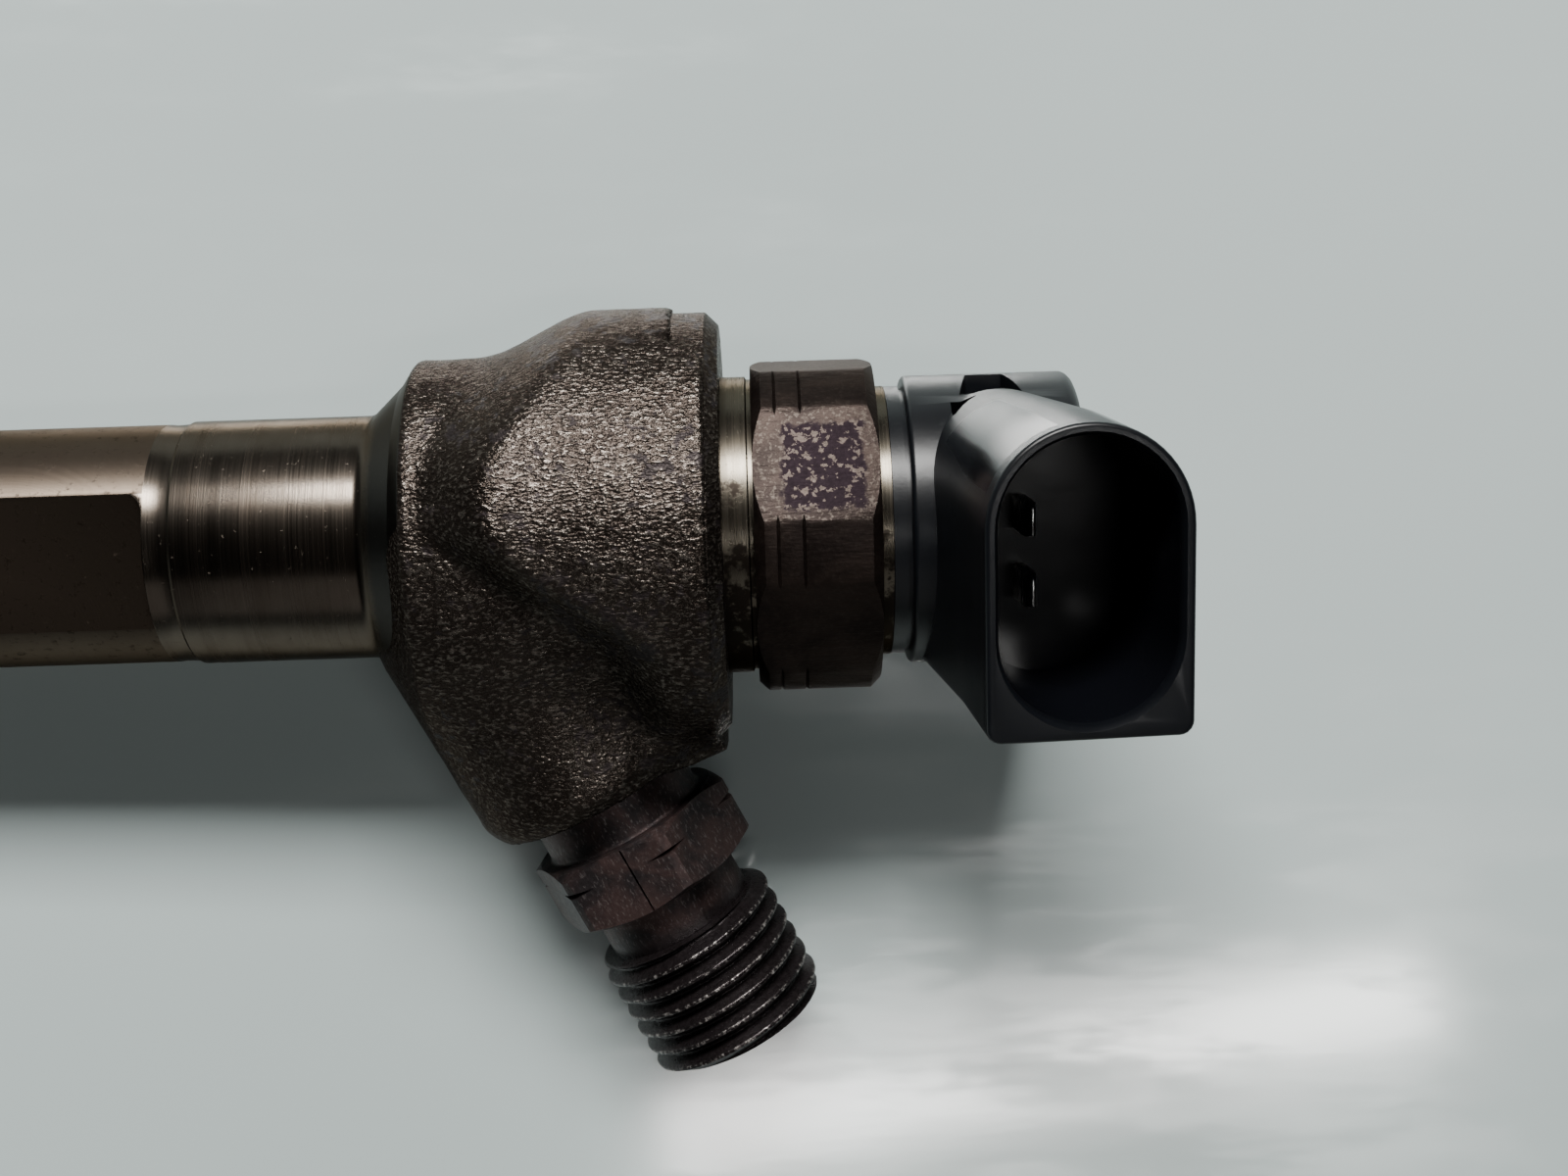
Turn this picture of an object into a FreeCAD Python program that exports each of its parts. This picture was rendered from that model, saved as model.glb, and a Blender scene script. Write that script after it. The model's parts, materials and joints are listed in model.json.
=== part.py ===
"""Solenoid fuel injector for a common-rail diesel engine, as an assembly of separate pieces.

Every piece is modelled about the injector's own axis, which is X: the nozzle points to -X, the
solenoid head to +X, the connector to +Z and the inlet union to -Y. X = 0 is the washer's sealing
face. One rotation about X then lays the whole injector down the way it rests on a bench, on its
forged head and its inlet union, with +Z up. Lengths are in millimetres and angles in degrees.
"""
import FreeCAD, Part
import math
import os
import re
import Sketcher

X_AXIS = FreeCAD.Vector(1, 0, 0)
Z_AXIS = FreeCAD.Vector(0, 0, 1)

# Driving dimensions: alias, value, what it is. Stations named *_at are measured along X from
# stem_end, and stations named inlet_* along the inlet union's axis from where it meets X.
SIZES = [
    ("roll", 13.6, "turn about X that rests the head and the inlet union on one flat bench"),
    # nozzle, its nut and washer
    ("tip_end", -19.5, "nozzle tip"),
    ("tip_radius", 1.5, "flat of the nozzle tip before its round"),
    ("tip_cone_end", -18.4, "end of the nozzle's tip cone"),
    ("shank_radius", 3.5, "nozzle shank"),
    ("shank_relief", 0.2, "relief of the shank inside the nut"),
    ("collar_start", 6.0, "nozzle collar, which the nut pulls on"),
    ("collar_radius", 7.15, "nozzle collar"),
    ("nozzle_top", 22.0, "lapped joint of nozzle and injector body"),
    ("sac_end", -18.8, "bottom of the sac hole"),
    ("sac_radius", 0.45, "sac hole"),
    ("seat_start", -18.3, "small end of the needle seat"),
    ("seat_end", -16.5, "large end of the needle seat"),
    ("needle_gap_radius", 2.0, "bore round the needle's stem"),
    ("gallery_start", 9.0, "fuel gallery in the nozzle"),
    ("gallery_end", 12.5, "fuel gallery in the nozzle"),
    ("gallery_radius", 4.5, "fuel gallery in the nozzle"),
    ("needle_guide_radius", 2.02, "needle guide bore"),
    ("needle_guide_land", 1.97, "needle's guided land"),
    ("needle_stem_radius", 1.55, "needle's stem"),
    ("needle_tip", -18.25, "needle point"),
    ("needle_tip_radius", 0.3, "needle point"),
    ("needle_cone_end", -16.95, "large end of the needle's cone"),
    ("needle_shoulder", 21.9, "needle's top shoulder"),
    ("needle_pin_radius", 1.2, "stub on the needle's top"),
    ("washer_thickness", 1.5, "copper sealing washer"),
    ("washer_radius", 7.5, "copper sealing washer"),
    ("washer_bore", 3.8, "copper sealing washer"),
    ("cap_radius", 8.5, "nozzle retaining nut"),
    ("cap_across", 15.0, "wrench hexagon of the nozzle retaining nut, across flats"),
    ("cap_hex_end", 9.5, "end of the nut's hexagon"),
    ("cap_end", 30.0, "top of the nozzle retaining nut"),
    ("cap_chamfer", 0.8, "chamfers of the nozzle retaining nut"),
    ("cap_bore", 7.25, "nut's bore round the nozzle collar"),
    ("cap_thread", 7.45, "nut's threaded bore"),
    # injector body
    ("body_thread", 7.4, "body's thread for the nozzle retaining nut"),
    ("stem_start", 31.0, "start of the plain stem"),
    ("stem_radius", 8.42, "plain stem"),
    ("land_start", 99.1, "start of the stem's guide land"),
    ("land_radius", 8.6, "stem's guide land"),
    ("stem_end", 112.0, "end of the turned stem and start of the forged head"),
    ("cone_at", 2.4, "end of the turned cone"),
    ("cone_radius", 10.9, "end of the turned cone"),
    ("neck_at", 3.3, "start of the forged neck"),
    ("neck_radius", 12.4, "forged neck"),
    ("neck_end_at", 7.6, "end of the forged neck"),
    ("rise_at", 11.6, "middle of the rise to the forged collar"),
    ("rise_radius", 13.3, "middle of the rise to the forged collar"),
    ("forge_at", 15.7, "start of the forged collar"),
    ("forge_radius", 15.6, "forged collar"),
    ("forge_step_at", 21.2, "turned step of the forged collar"),
    ("forge_step_radius", 15.1, "turned step of the forged collar"),
    ("face_at", 24.4, "turned face of the head"),
    ("face_chamfer", 0.9, "chamfer of the turned face"),
    ("undercut_radius", 10.5, "bright neck between the head and the solenoid nut"),
    ("undercut_end_at", 27.0, "end of the bright neck"),
    ("spigot_radius", 9.9, "spigot thread for the solenoid nut"),
    ("spigot_end_at", 31.5, "end of the threaded spigot"),
    ("clamp_start", 77.4, "start of the clamp's two flats"),
    ("clamp_end", 97.4, "end of the clamp's two flats"),
    ("clamp_across", 14.0, "clamp flats, across"),
    ("spring_bore", 3.1, "nozzle spring chamber"),
    ("spring_bore_end", 51.2, "end of the nozzle spring chamber"),
    ("piston_bore", 2.25, "bore round the control piston"),
    ("sleeve_bore_at", -3.2, "start of the bore for the valve body's sleeve"),
    ("sleeve_bore", 3.75, "bore for the valve body's sleeve"),
    ("flange_bore_at", 10.0, "seat of the valve body's flange"),
    ("flange_bore", 5.6, "bore for the valve body's flange"),
    ("screw_bore_at", 14.0, "start of the clamping screw's thread"),
    ("screw_bore", 7.45, "clamping screw's thread"),
    ("magnet_bore_at", 17.6, "start of the magnet's bore"),
    ("magnet_bore", 8.4, "magnet's bore"),
    ("feed_radius", 0.9, "high-pressure drilling down the body"),
    ("feed_offset", 4.9, "high-pressure drilling's distance from the axis"),
    ("feed_end_at", 6.8, "top of the high-pressure drilling"),
    # nozzle spring and control piston
    ("dowel_radius", 0.8, "nozzle locating dowels"),
    ("dowel_clear", 0.02, "clearance round the dowels"),
    ("dowel_length", 3.0, "nozzle locating dowels"),
    ("dowel_circle", 5.3, "dowels' distance from the axis"),
    ("dowel_angle", 60.0, "dowels' angle each side of +Y"),
    ("thrust_start", 23.0, "underside of the thrust pin"),
    ("thrust_flange_end", 24.3, "spring seat on the thrust pin"),
    ("thrust_flange_radius", 2.95, "spring seat on the thrust pin"),
    ("thrust_boss_radius", 1.5, "thrust pin's boss inside the spring"),
    ("thrust_end", 27.0, "top of the thrust pin"),
    ("nozzle_coil_radius", 2.3, "nozzle spring, mean radius"),
    ("nozzle_wire", 0.45, "nozzle spring, wire radius"),
    ("nozzle_pitch", 1.7, "nozzle spring's pitch"),
    ("shim_start", 50.0, "nozzle spring's shim"),
    ("shim_bore", 1.75, "nozzle spring's shim"),
    ("piston_start", 27.02, "lower end of the control piston"),
    ("piston_stem_radius", 1.4, "control piston inside the spring"),
    ("piston_step", 54.0, "control piston's step"),
    ("piston_step_length", 1.0, "control piston's step"),
    ("piston_radius", 2.15, "control piston's guided land"),
    ("piston_end_at", 10.6, "top of the control piston"),
    # control valve
    ("sleeve_at", -2.0, "lower end of the valve body's sleeve"),
    ("sleeve_radius", 3.6, "valve body's sleeve"),
    ("valve_flange_radius", 5.5, "valve body's flange"),
    ("valve_guide", 2.2, "valve body's guide bore"),
    ("chamber_at", 11.0, "top of the control chamber"),
    ("throttle_radius", 0.25, "outlet throttle"),
    ("ball_seat_at", 13.6, "small end of the ball seat"),
    ("ball_seat_radius", 0.8, "large end of the ball seat"),
    ("ball_at", 14.25, "centre of the ball"),
    ("ball_radius", 0.66, "ceramic ball"),
    ("seal_at", -3.1, "high-pressure seal ring"),
    ("seal_length", 1.0, "high-pressure seal ring"),
    ("seal_bore", 2.4, "high-pressure seal ring"),
    ("seal_radius", 3.7, "high-pressure seal ring"),
    ("screw_radius", 7.35, "valve clamping screw"),
    ("screw_passage", 3.4, "valve clamping screw's passage"),
    ("screw_socket_at", 15.6, "floor of the screw's hexagon socket"),
    ("screw_socket_across", 9.0, "screw's hexagon socket, across flats"),
    ("holder_at", 14.35, "ball holder"),
    ("holder_end_at", 16.0, "ball holder"),
    ("holder_radius", 1.5, "ball holder"),
    ("holder_cup_at", 15.0, "bottom of the holder's cup"),
    ("holder_cup_radius", 0.80, "mouth of the holder's cup"),
    # armature
    ("guide_tube_at", 16.2, "armature guide's tube"),
    ("guide_tube_end_at", 21.2, "armature guide's tube"),
    ("guide_tube_radius", 2.2, "armature guide's tube"),
    ("guide_end_at", 19.0, "armature guide's flange"),
    ("guide_radius", 8.2, "armature guide's flange"),
    ("guide_bore", 1.36, "armature guide's bore"),
    ("guide_port_radius", 0.9, "flow ports in the guide's flange"),
    ("guide_port_circle", 5.0, "flow ports in the guide's flange"),
    ("bolt_radius", 1.3, "armature bolt"),
    ("bolt_groove_radius", 1.0, "groove for the armature clip"),
    ("bolt_end_at", 25.6, "top of the armature bolt"),
    ("clip_at", 24.25, "armature clip"),
    ("clip_thickness", 0.4, "armature clip"),
    ("clip_radius", 2.2, "armature clip"),
    ("clip_gap", 1.7, "mouth of the armature clip"),
    ("plate_at", 22.0, "armature plate"),
    ("plate_end_at", 24.2, "armature plate"),
    ("plate_radius", 6.6, "armature plate"),
    ("plate_bore", 1.36, "armature plate's bore"),
    ("plate_slot_width", 1.2, "radial slots in the armature plate"),
    ("plate_slot_depth", 2.6, "radial slots in the armature plate"),
    ("over_coil_radius", 2.9, "overtravel spring, mean radius"),
    ("over_wire", 0.25, "overtravel spring, wire radius"),
    ("over_pitch", 0.85, "overtravel spring's pitch"),
    ("lift_shim_end_at", 20.4, "lift shim, which sets the armature's stroke"),
    ("lift_shim_bore", 7.2, "lift shim"),
    ("lift_shim_radius", 8.3, "lift shim"),
    # solenoid
    ("magnet_at", 24.35, "pole face of the magnet core"),
    ("magnet_end_at", 34.9, "top of the magnet core"),
    ("magnet_radius", 7.0, "magnet core"),
    ("magnet_passage", 2.6, "magnet core's middle bore"),
    ("slot_inner", 3.9, "magnet core's coil slot"),
    ("slot_outer", 6.1, "magnet core's coil slot"),
    ("slot_end_at", 33.0, "magnet core's coil slot"),
    ("bobbin_at", 24.5, "coil bobbin"),
    ("bobbin_end_at", 32.9, "coil bobbin"),
    ("bobbin_inner", 4.0, "coil bobbin"),
    ("bobbin_outer", 6.0, "coil bobbin"),
    ("bobbin_wall", 0.4, "coil bobbin"),
    ("winding_gap", 0.02, "clearance between winding and bobbin"),
    ("magnet_sleeve_bore", 7.1, "magnet sleeve"),
    ("magnet_sleeve_low", 8.2, "magnet sleeve inside the spigot"),
    ("magnet_flange_at", 31.6, "flange that the solenoid nut clamps"),
    ("magnet_flange_end_at", 33.2, "flange that the solenoid nut clamps"),
    ("magnet_flange_radius", 9.85, "flange that the solenoid nut clamps"),
    ("magnet_ring_radius", 9.55, "bright ring between nut and head moulding"),
    ("magnet_ring_end_at", 35.8, "end of the bright ring"),
    ("ring_groove_at", 29.0, "groove for the sealing ring"),
    ("ring_groove_width", 1.0, "groove for the sealing ring"),
    ("ring_groove_radius", 7.6, "groove for the sealing ring"),
    ("ring_wire", 0.4, "solenoid sealing ring"),
    ("return_coil_radius", 1.05, "solenoid spring, mean radius"),
    ("return_wire", 0.22, "solenoid spring, wire radius"),
    ("return_pitch", 0.8, "solenoid spring's pitch"),
    ("force_shim_at", 33.6, "solenoid spring's force shim"),
    ("force_shim_end_at", 34.4, "solenoid spring's force shim"),
    ("force_shim_radius", 2.5, "solenoid spring's force shim"),
    ("nut_at", 26.5, "solenoid nut"),
    ("nut_end_at", 35.0, "solenoid nut"),
    ("nut_radius", 11.9, "solenoid nut"),
    ("nut_across", 22.4, "solenoid nut, across flats"),
    ("nut_chamfer", 0.7, "solenoid nut's chamfer"),
    ("nut_relief", 10.65, "solenoid nut's lower counterbore"),
    ("nut_relief_end_at", 27.2, "solenoid nut's lower counterbore"),
    ("nut_thread", 9.95, "solenoid nut's threaded bore"),
    ("nut_shoulder_at", 33.3, "shoulder that clamps the magnet sleeve"),
    ("nut_passage", 9.65, "solenoid nut's upper bore"),
    # head moulding, its connector and the return port
    ("plug_at", 35.0, "moulding's spigot inside the magnet sleeve"),
    ("plug_radius", 7.0, "moulding's spigot inside the magnet sleeve"),
    ("collar_radius_black", 9.5, "moulding's collar"),
    ("head_at", 36.8, "moulding's drum"),
    ("head_end_at", 49.0, "moulding's drum"),
    ("head_radius", 10.2, "moulding's drum"),
    ("head_round", 0.8, "rounds of the drum"),
    ("vent_radius", 1.0, "leak-off passage through the moulding"),
    ("port_at", 40.0, "floor of the return port"),
    ("port_radius", 3.65, "return port's bore in the moulding"),
    ("port_sleeve_radius", 3.6, "return port's steel sleeve"),
    ("port_sleeve_bore", 3.0, "return port's steel sleeve"),
    ("root_at", 43.2, "middle of the connector's root"),
    ("root_width", 11.0, "connector's root along X"),
    ("root_height", 3.0, "connector's root above the axis"),
    ("rim_at", 46.4, "middle of the connector's rim"),
    ("rim_width", 12.7, "connector's rim along X"),
    ("rim_length", 19.2, "connector's rim along Y"),
    ("rim_height", 25.0, "connector's rim above the axis"),
    ("rim_straight", 9.0, "straight part of the connector below its rim"),
    ("rim_corner", 0.9, "small corners of the connector's flat end"),
    ("rim_tilt", 4.0, "lean of the connector towards +X"),
    ("cavity_width", 11.0, "connector's cavity along X"),
    ("cavity_length", 17.6, "connector's cavity along Y"),
    ("cavity_depth", 13.5, "connector's cavity"),
    ("blade_width", 2.2, "terminal blades along Y"),
    ("blade_thickness", 0.8, "terminal blades along X"),
    ("blade_pitch", 4.6, "terminal blades"),
    ("blade_offset", -1.6, "terminal blades from the connector's middle"),
    ("blade_tip", 9.0, "terminal tips below the rim"),
    ("blade_length", 8.5, "terminal blades"),
    ("blade_bevel", 0.35, "bevel of the terminal tips"),
    # inlet union
    ("inlet_at", 5.4, "where the inlet union's axis meets X"),
    ("inlet_angle", 63.5, "inlet union's axis from X"),
    ("inlet_drill", 1.3, "inlet drilling in the body"),
    ("inlet_boss_radius", 9.1, "forged inlet boss"),
    ("inlet_boss_taper", 19.0, "start of the boss's turned taper"),
    ("inlet_boss_end", 21.0, "turned face of the boss"),
    ("inlet_boss_face", 8.2, "turned face of the boss"),
    ("inlet_socket", 13.0, "floor of the boss's threaded hole"),
    ("inlet_socket_radius", 5.95, "boss's threaded hole"),
    ("inlet_root_radius", 5.9, "union's thread in the boss"),
    ("inlet_neck_radius", 6.0, "union's neck between boss and hexagon"),
    ("inlet_hex_start", 24.2, "union's hexagon"),
    ("inlet_hex_end", 29.3, "union's hexagon"),
    ("inlet_hex_across", 14.0, "union's hexagon, across flats"),
    ("inlet_hex_radius", 7.9, "turned corners of the union's hexagon"),
    ("inlet_hex_chamfer", 0.9, "chamfers of the union's hexagon"),
    ("inlet_relief_radius", 5.5, "union's neck behind the pipe thread"),
    ("inlet_thread_start", 32.7, "pipe thread M14 x 1.5"),
    ("inlet_thread_radius", 6.9, "pipe thread M14 x 1.5"),
    ("inlet_end", 42.2, "end of the union"),
    ("inlet_thread_chamfer", 0.8, "lead chamfers of the pipe thread"),
    ("inlet_bore", 1.25, "union's bore"),
    ("inlet_filter_start", 26.0, "floor of the filter's bore"),
    ("inlet_filter_bore", 2.1, "filter's bore"),
    ("inlet_cone_start", 40.6, "sealing cone for the pipe"),
    ("inlet_cone_radius", 3.6, "sealing cone for the pipe"),
    ("filter_start", 26.2, "edge filter"),
    ("filter_end", 37.0, "edge filter"),
    ("filter_radius", 2.05, "edge filter"),
    ("filter_waist", 1.75, "edge filter between its lands"),
    ("filter_land", 1.2, "edge filter's lands"),
]

doc = FreeCAD.newDocument("fuel_injector")
sheet = doc.addObject("Spreadsheet::Sheet", "sizes")
for row, (alias, value, meaning) in enumerate(SIZES, start=1):
    sheet.set(f"A{row}", alias)
    sheet.set(f"B{row}", str(value))
    sheet.setAlias(f"B{row}", alias)
    sheet.set(f"C{row}", meaning)
doc.recompute()

aliases = {alias for alias, value, meaning in SIZES}
pieces = []


def bound(formula):
    """A formula with the name of each size turned into its cell of the sheet."""
    def cell(word):
        return f"sizes.{word.group()}" if word.group() in aliases else word.group()

    return re.sub(r"[a-z]\w*", cell, formula)


def size(formula):
    """The present value of a formula of named sizes."""
    return float(sheet.evalExpression(bound(formula)))


def from_stem(formula):
    """A station along X, given from the end of the stem."""
    return f"stem_end + {formula}"


def lay_down(piece):
    """Gives a piece the one turn about X that the whole injector has."""
    piece.Placement = FreeCAD.Placement(FreeCAD.Vector(), FreeCAD.Rotation(X_AXIS, size("roll")))
    piece.setExpression("Placement.Rotation.Angle", bound("roll") + " * 1 deg")
    pieces.append(piece)
    return piece


def move_to_inlet(piece):
    """Moves a piece that was made along X onto the inlet union's axis."""
    roll = FreeCAD.Placement(FreeCAD.Vector(), FreeCAD.Rotation(X_AXIS, size("roll")))
    foot = FreeCAD.Vector(size(from_stem("inlet_at")), 0, 0)
    piece.setExpression("Placement.Rotation.Angle", None)
    piece.Placement = roll * FreeCAD.Placement(foot, FreeCAD.Rotation(Z_AXIS, size("-inlet_angle")))
    piece.setExpression("Placement.Base.x", bound(from_stem("inlet_at")))


def new_body(label):
    body = doc.addObject("PartDesign::Body", label)
    body.Label = label
    return lay_down(body)


def new_sketch(body, plane, offset=("0", "0", "0"), axis=Z_AXIS, angle="0"):
    """A sketch on an origin plane of its body, moved by offset and turned by angle about axis."""
    sketch = body.newObject("Sketcher::SketchObject", "Sketch")
    support = next(item for item in body.Origin.OriginFeatures if item.Role == plane)
    sketch.AttachmentSupport = [(support, "")]
    sketch.MapMode = "FlatFace"
    place = FreeCAD.Vector(*(size(part) for part in offset))
    sketch.AttachmentOffset = FreeCAD.Placement(place, FreeCAD.Rotation(axis, size(angle)))
    for name, part in zip("xyz", offset):
        if part != "0":
            sketch.setExpression(f"AttachmentOffset.Base.{name}", bound(part))
    if angle != "0":
        sketch.setExpression("AttachmentOffset.Rotation.Angle", f"({bound(angle)}) * 1 deg")
    return sketch


def drive(sketch, kind, reference, formula):
    """A driven dimension: its value is a formula of the sheet's cells."""
    number = sketch.addConstraint(Sketcher.Constraint(kind, *reference, size(formula)))
    sketch.setExpression(f"Constraints[{number}]", bound(formula))


def draw_outline(sketch, points):
    """A closed outline of straight lines through points, each a pair of formulas."""
    places = [FreeCAD.Vector(size(across), size(up), 0) for across, up in points]
    first = sketch.GeometryCount
    count = len(points)
    for number in range(count):
        sketch.addGeometry(Part.LineSegment(places[number], places[(number + 1) % count]), False)
    for number in range(count):
        after = first + (number + 1) % count
        sketch.addConstraint(Sketcher.Constraint("Coincident", first + number, 2, after, 1))
    for number, (across, up) in enumerate(points):
        drive(sketch, "DistanceX", (-1, 1, first + number, 1), across)
        drive(sketch, "DistanceY", (-1, 1, first + number, 1), up)


def draw_circle(sketch, across, up, radius):
    centre = FreeCAD.Vector(size(across), size(up), 0)
    circle = sketch.addGeometry(Part.Circle(centre, Z_AXIS, size(radius)), False)
    drive(sketch, "DistanceX", (-1, 1, circle, 3), across)
    drive(sketch, "DistanceY", (-1, 1, circle, 3), up)
    drive(sketch, "Radius", (circle,), radius)


def draw_hexagon(sketch, across_flats):
    """A hexagon about the sketch's origin, with two flats square to the sketch's Y."""
    corners = []
    for number in range(6):
        angle = math.radians(60 * number)
        reach = f"{across_flats} / 1.7320508"
        corners.append((f"{reach} * {math.cos(angle):.7f}", f"{reach} * {math.sin(angle):.7f}"))
    draw_outline(sketch, corners)


def revolve(body, points, cut=False, start="0", on_inlet=False):
    """Turns an outline of (along, radius) about X, or about the inlet union's axis."""
    if on_inlet:
        foot = (from_stem("inlet_at"), "0", "0")
        sketch = new_sketch(body, "XY_Plane", foot, Z_AXIS, "-inlet_angle")
    else:
        sketch = new_sketch(body, "XY_Plane", (start, "0", "0"))
    draw_outline(sketch, points)
    kind = "PartDesign::Groove" if cut else "PartDesign::Revolution"
    feature = body.newObject(kind, "Bore" if cut else "Turning")
    feature.Profile = sketch
    feature.ReferenceAxis = (sketch, ["H_Axis"])
    feature.Angle = 360
    return feature


def turned(label, points, bore=None, start="0"):
    """A turned piece: an outline about X, less a bore's outline."""
    body = new_body(label)
    revolve(body, points, False, start)
    if bore:
        revolve(body, bore, True, start)
    return body


def block(low, high, outer, inner="0"):
    """The outline of a plain ring or disc."""
    return [(low, inner), (low, outer), (high, outer), (high, inner)]


def pocket(body, sketch, length, ahead=True, both=False):
    """Cuts a sketch's outline into the body, ahead along the sketch's normal or behind it."""
    doc.recompute()
    before = body.Shape.Volume
    feature = body.newObject("PartDesign::Pocket", "Pocket")
    feature.Profile = sketch
    feature.Reversed = ahead
    feature.Midplane = both
    feature.Length = size(length)
    feature.setExpression("Length", bound(length))
    doc.recompute()
    if body.Shape.Volume > before - 0.01:
        raise RuntimeError(f"a pocket of {body.Label} cuts nothing")
    return feature


def mill_hexagon(body, across_flats, low, high, clear):
    """Cuts away what lies outside a hexagon, between two stations along X."""
    sketch = new_sketch(body, "YZ_Plane", ("0", "0", low))
    draw_circle(sketch, "0", "0", clear)
    draw_hexagon(sketch, across_flats)
    return pocket(body, sketch, f"({high}) - ({low})")


def drill(body, low, high, offset, radius):
    """A drilling parallel to X between two stations, on the -Y side of the axis."""
    sketch = new_sketch(body, "YZ_Plane", ("0", "0", low))
    draw_circle(sketch, f"-({offset})", "0", radius)
    pocket(body, sketch, f"({high}) - ({low})")


def repeat_round_x(body, feature, copies):
    """Repeats a feature evenly about the body's own X axis."""
    pattern = body.newObject("PartDesign::PolarPattern", "Round")
    pattern.Originals = [feature]
    axis = next(item for item in body.Origin.OriginFeatures if item.Role == "X_Axis")
    pattern.Axis = (axis, [""])
    pattern.Angle = 360
    pattern.Occurrences = copies
    body.Tip = pattern


def coil_spring(label, low, high, radius, wire, pitch, start="0"):
    """A coil spring about X that fills the space between two faces."""
    body = new_body(label)
    sketch = new_sketch(body, "XY_Plane", (start, "0", "0"))
    draw_circle(sketch, f"{low} + {wire} * 1.05", radius, wire)
    helix = body.newObject("PartDesign::AdditiveHelix", "Coil")
    helix.Profile = sketch
    helix.ReferenceAxis = (sketch, ["H_Axis"])
    helix.Mode = 0
    free = f"({high}) - ({low}) - 2.1 * {wire}"
    for name, formula in (("Pitch", pitch), ("Height", free)):
        setattr(helix, name, size(formula))
        helix.setExpression(name, bound(formula))
    return body


# Nozzle end


def make_nozzle_body():
    body = turned("nozzle_body", [
        ("tip_end", "0"), ("tip_end", "tip_radius"), ("tip_cone_end", "shank_radius"),
        ("0", "shank_radius"), ("0", "shank_radius - shank_relief"),
        ("collar_start", "shank_radius - shank_relief"), ("collar_start", "collar_radius"),
        ("nozzle_top", "collar_radius"), ("nozzle_top", "0"),
    ], [
        ("sac_end", "0"), ("sac_end", "sac_radius"), ("seat_start", "sac_radius"),
        ("seat_end", "needle_gap_radius"), ("gallery_start", "needle_gap_radius"),
        ("gallery_start", "gallery_radius"), ("gallery_end", "gallery_radius"),
        ("gallery_end", "needle_guide_radius"), ("nozzle_top", "needle_guide_radius"),
        ("nozzle_top", "0"),
    ])
    drill(body, "gallery_end - 0.5", "nozzle_top", "feed_offset", "feed_radius")
    for hand in (1, -1):
        dowel_hole(body, hand, "nozzle_top - dowel_length / 2", "nozzle_top")
    return body


def dowel_place(hand):
    """Where a dowel lies across X: to each side of +Y."""
    return "dowel_circle * cos(dowel_angle * 1 deg)", f"{hand} * dowel_circle * sin(dowel_angle * 1 deg)"


def dowel_hole(body, hand, low, high):
    sketch = new_sketch(body, "YZ_Plane", ("0", "0", low))
    across, up = dowel_place(hand)
    draw_circle(sketch, across, up, "dowel_radius + dowel_clear")
    pocket(body, sketch, f"({high}) - ({low})")


def make_nozzle_needle():
    return turned("nozzle_needle", [
        ("needle_tip", "0"), ("needle_tip", "needle_tip_radius"),
        ("needle_cone_end", "needle_stem_radius"), ("gallery_start", "needle_stem_radius"),
        ("gallery_end - 1", "needle_guide_land"), ("needle_shoulder", "needle_guide_land"),
        ("needle_shoulder", "needle_pin_radius"), ("thrust_start", "needle_pin_radius"),
        ("thrust_start", "0"),
    ])


def make_nozzle_retaining_nut():
    body = turned("nozzle_retaining_nut", [
        ("washer_thickness", "0"), ("washer_thickness", "cap_radius - cap_chamfer"),
        ("washer_thickness + cap_chamfer", "cap_radius"), ("cap_end - cap_chamfer", "cap_radius"),
        ("cap_end", "cap_radius - cap_chamfer / 2"), ("cap_end", "0"),
    ], [
        ("washer_thickness", "0"), ("washer_thickness", "washer_bore"),
        ("collar_start", "washer_bore"), ("collar_start", "cap_bore"),
        ("nozzle_top", "cap_bore"), ("nozzle_top", "cap_thread"), ("cap_end", "cap_thread"),
        ("cap_end", "0"),
    ])
    mill_hexagon(body, "cap_across", "washer_thickness", "cap_hex_end", "cap_radius + 1")
    return body


def make_dowel_pins():
    """Two dowels that locate the nozzle on the body, one node."""
    pins = []
    for hand, name in ((1, "dowel_upper"), (-1, "dowel_lower")):
        pin = doc.addObject("Part::Cylinder", name)
        across, up = dowel_place(hand)
        low = "nozzle_top - dowel_length / 2 + dowel_clear"
        place = FreeCAD.Vector(size(low), size(across), size(up))
        pin.Placement = FreeCAD.Placement(place, FreeCAD.Rotation(FreeCAD.Vector(0, 1, 0), 90))
        for part, formula in (("x", low), ("y", across), ("z", up)):
            pin.setExpression(f"Placement.Base.{part}", bound(formula))
        pin.setExpression("Radius", bound("dowel_radius"))
        pin.setExpression("Height", bound("dowel_length - 2 * dowel_clear"))
        pins.append(pin)
    pair = doc.addObject("Part::Compound", "dowel_pins")
    pair.Links = pins
    pair.Label = "dowel_pins"
    return lay_down(pair)


def make_spring_train():
    """Thrust pin, nozzle spring, its shim and the control piston."""
    turned("thrust_pin", [
        ("thrust_start", "0"), ("thrust_start", "thrust_flange_radius"),
        ("thrust_flange_end", "thrust_flange_radius"), ("thrust_flange_end", "thrust_boss_radius"),
        ("thrust_end", "thrust_boss_radius"), ("thrust_end", "0"),
    ])
    coil_spring("nozzle_spring", "thrust_flange_end", "shim_start",
                "nozzle_coil_radius", "nozzle_wire", "nozzle_pitch")
    turned("spring_shim", block("shim_start", "spring_bore_end", "thrust_flange_radius", "shim_bore"))
    turned("control_piston", [
        ("piston_start", "0"), ("piston_start", "piston_stem_radius"),
        ("piston_step", "piston_stem_radius"),
        ("piston_step + piston_step_length", "piston_radius"),
        (from_stem("piston_end_at"), "piston_radius"), (from_stem("piston_end_at"), "0"),
    ])


# Injector body


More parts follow.
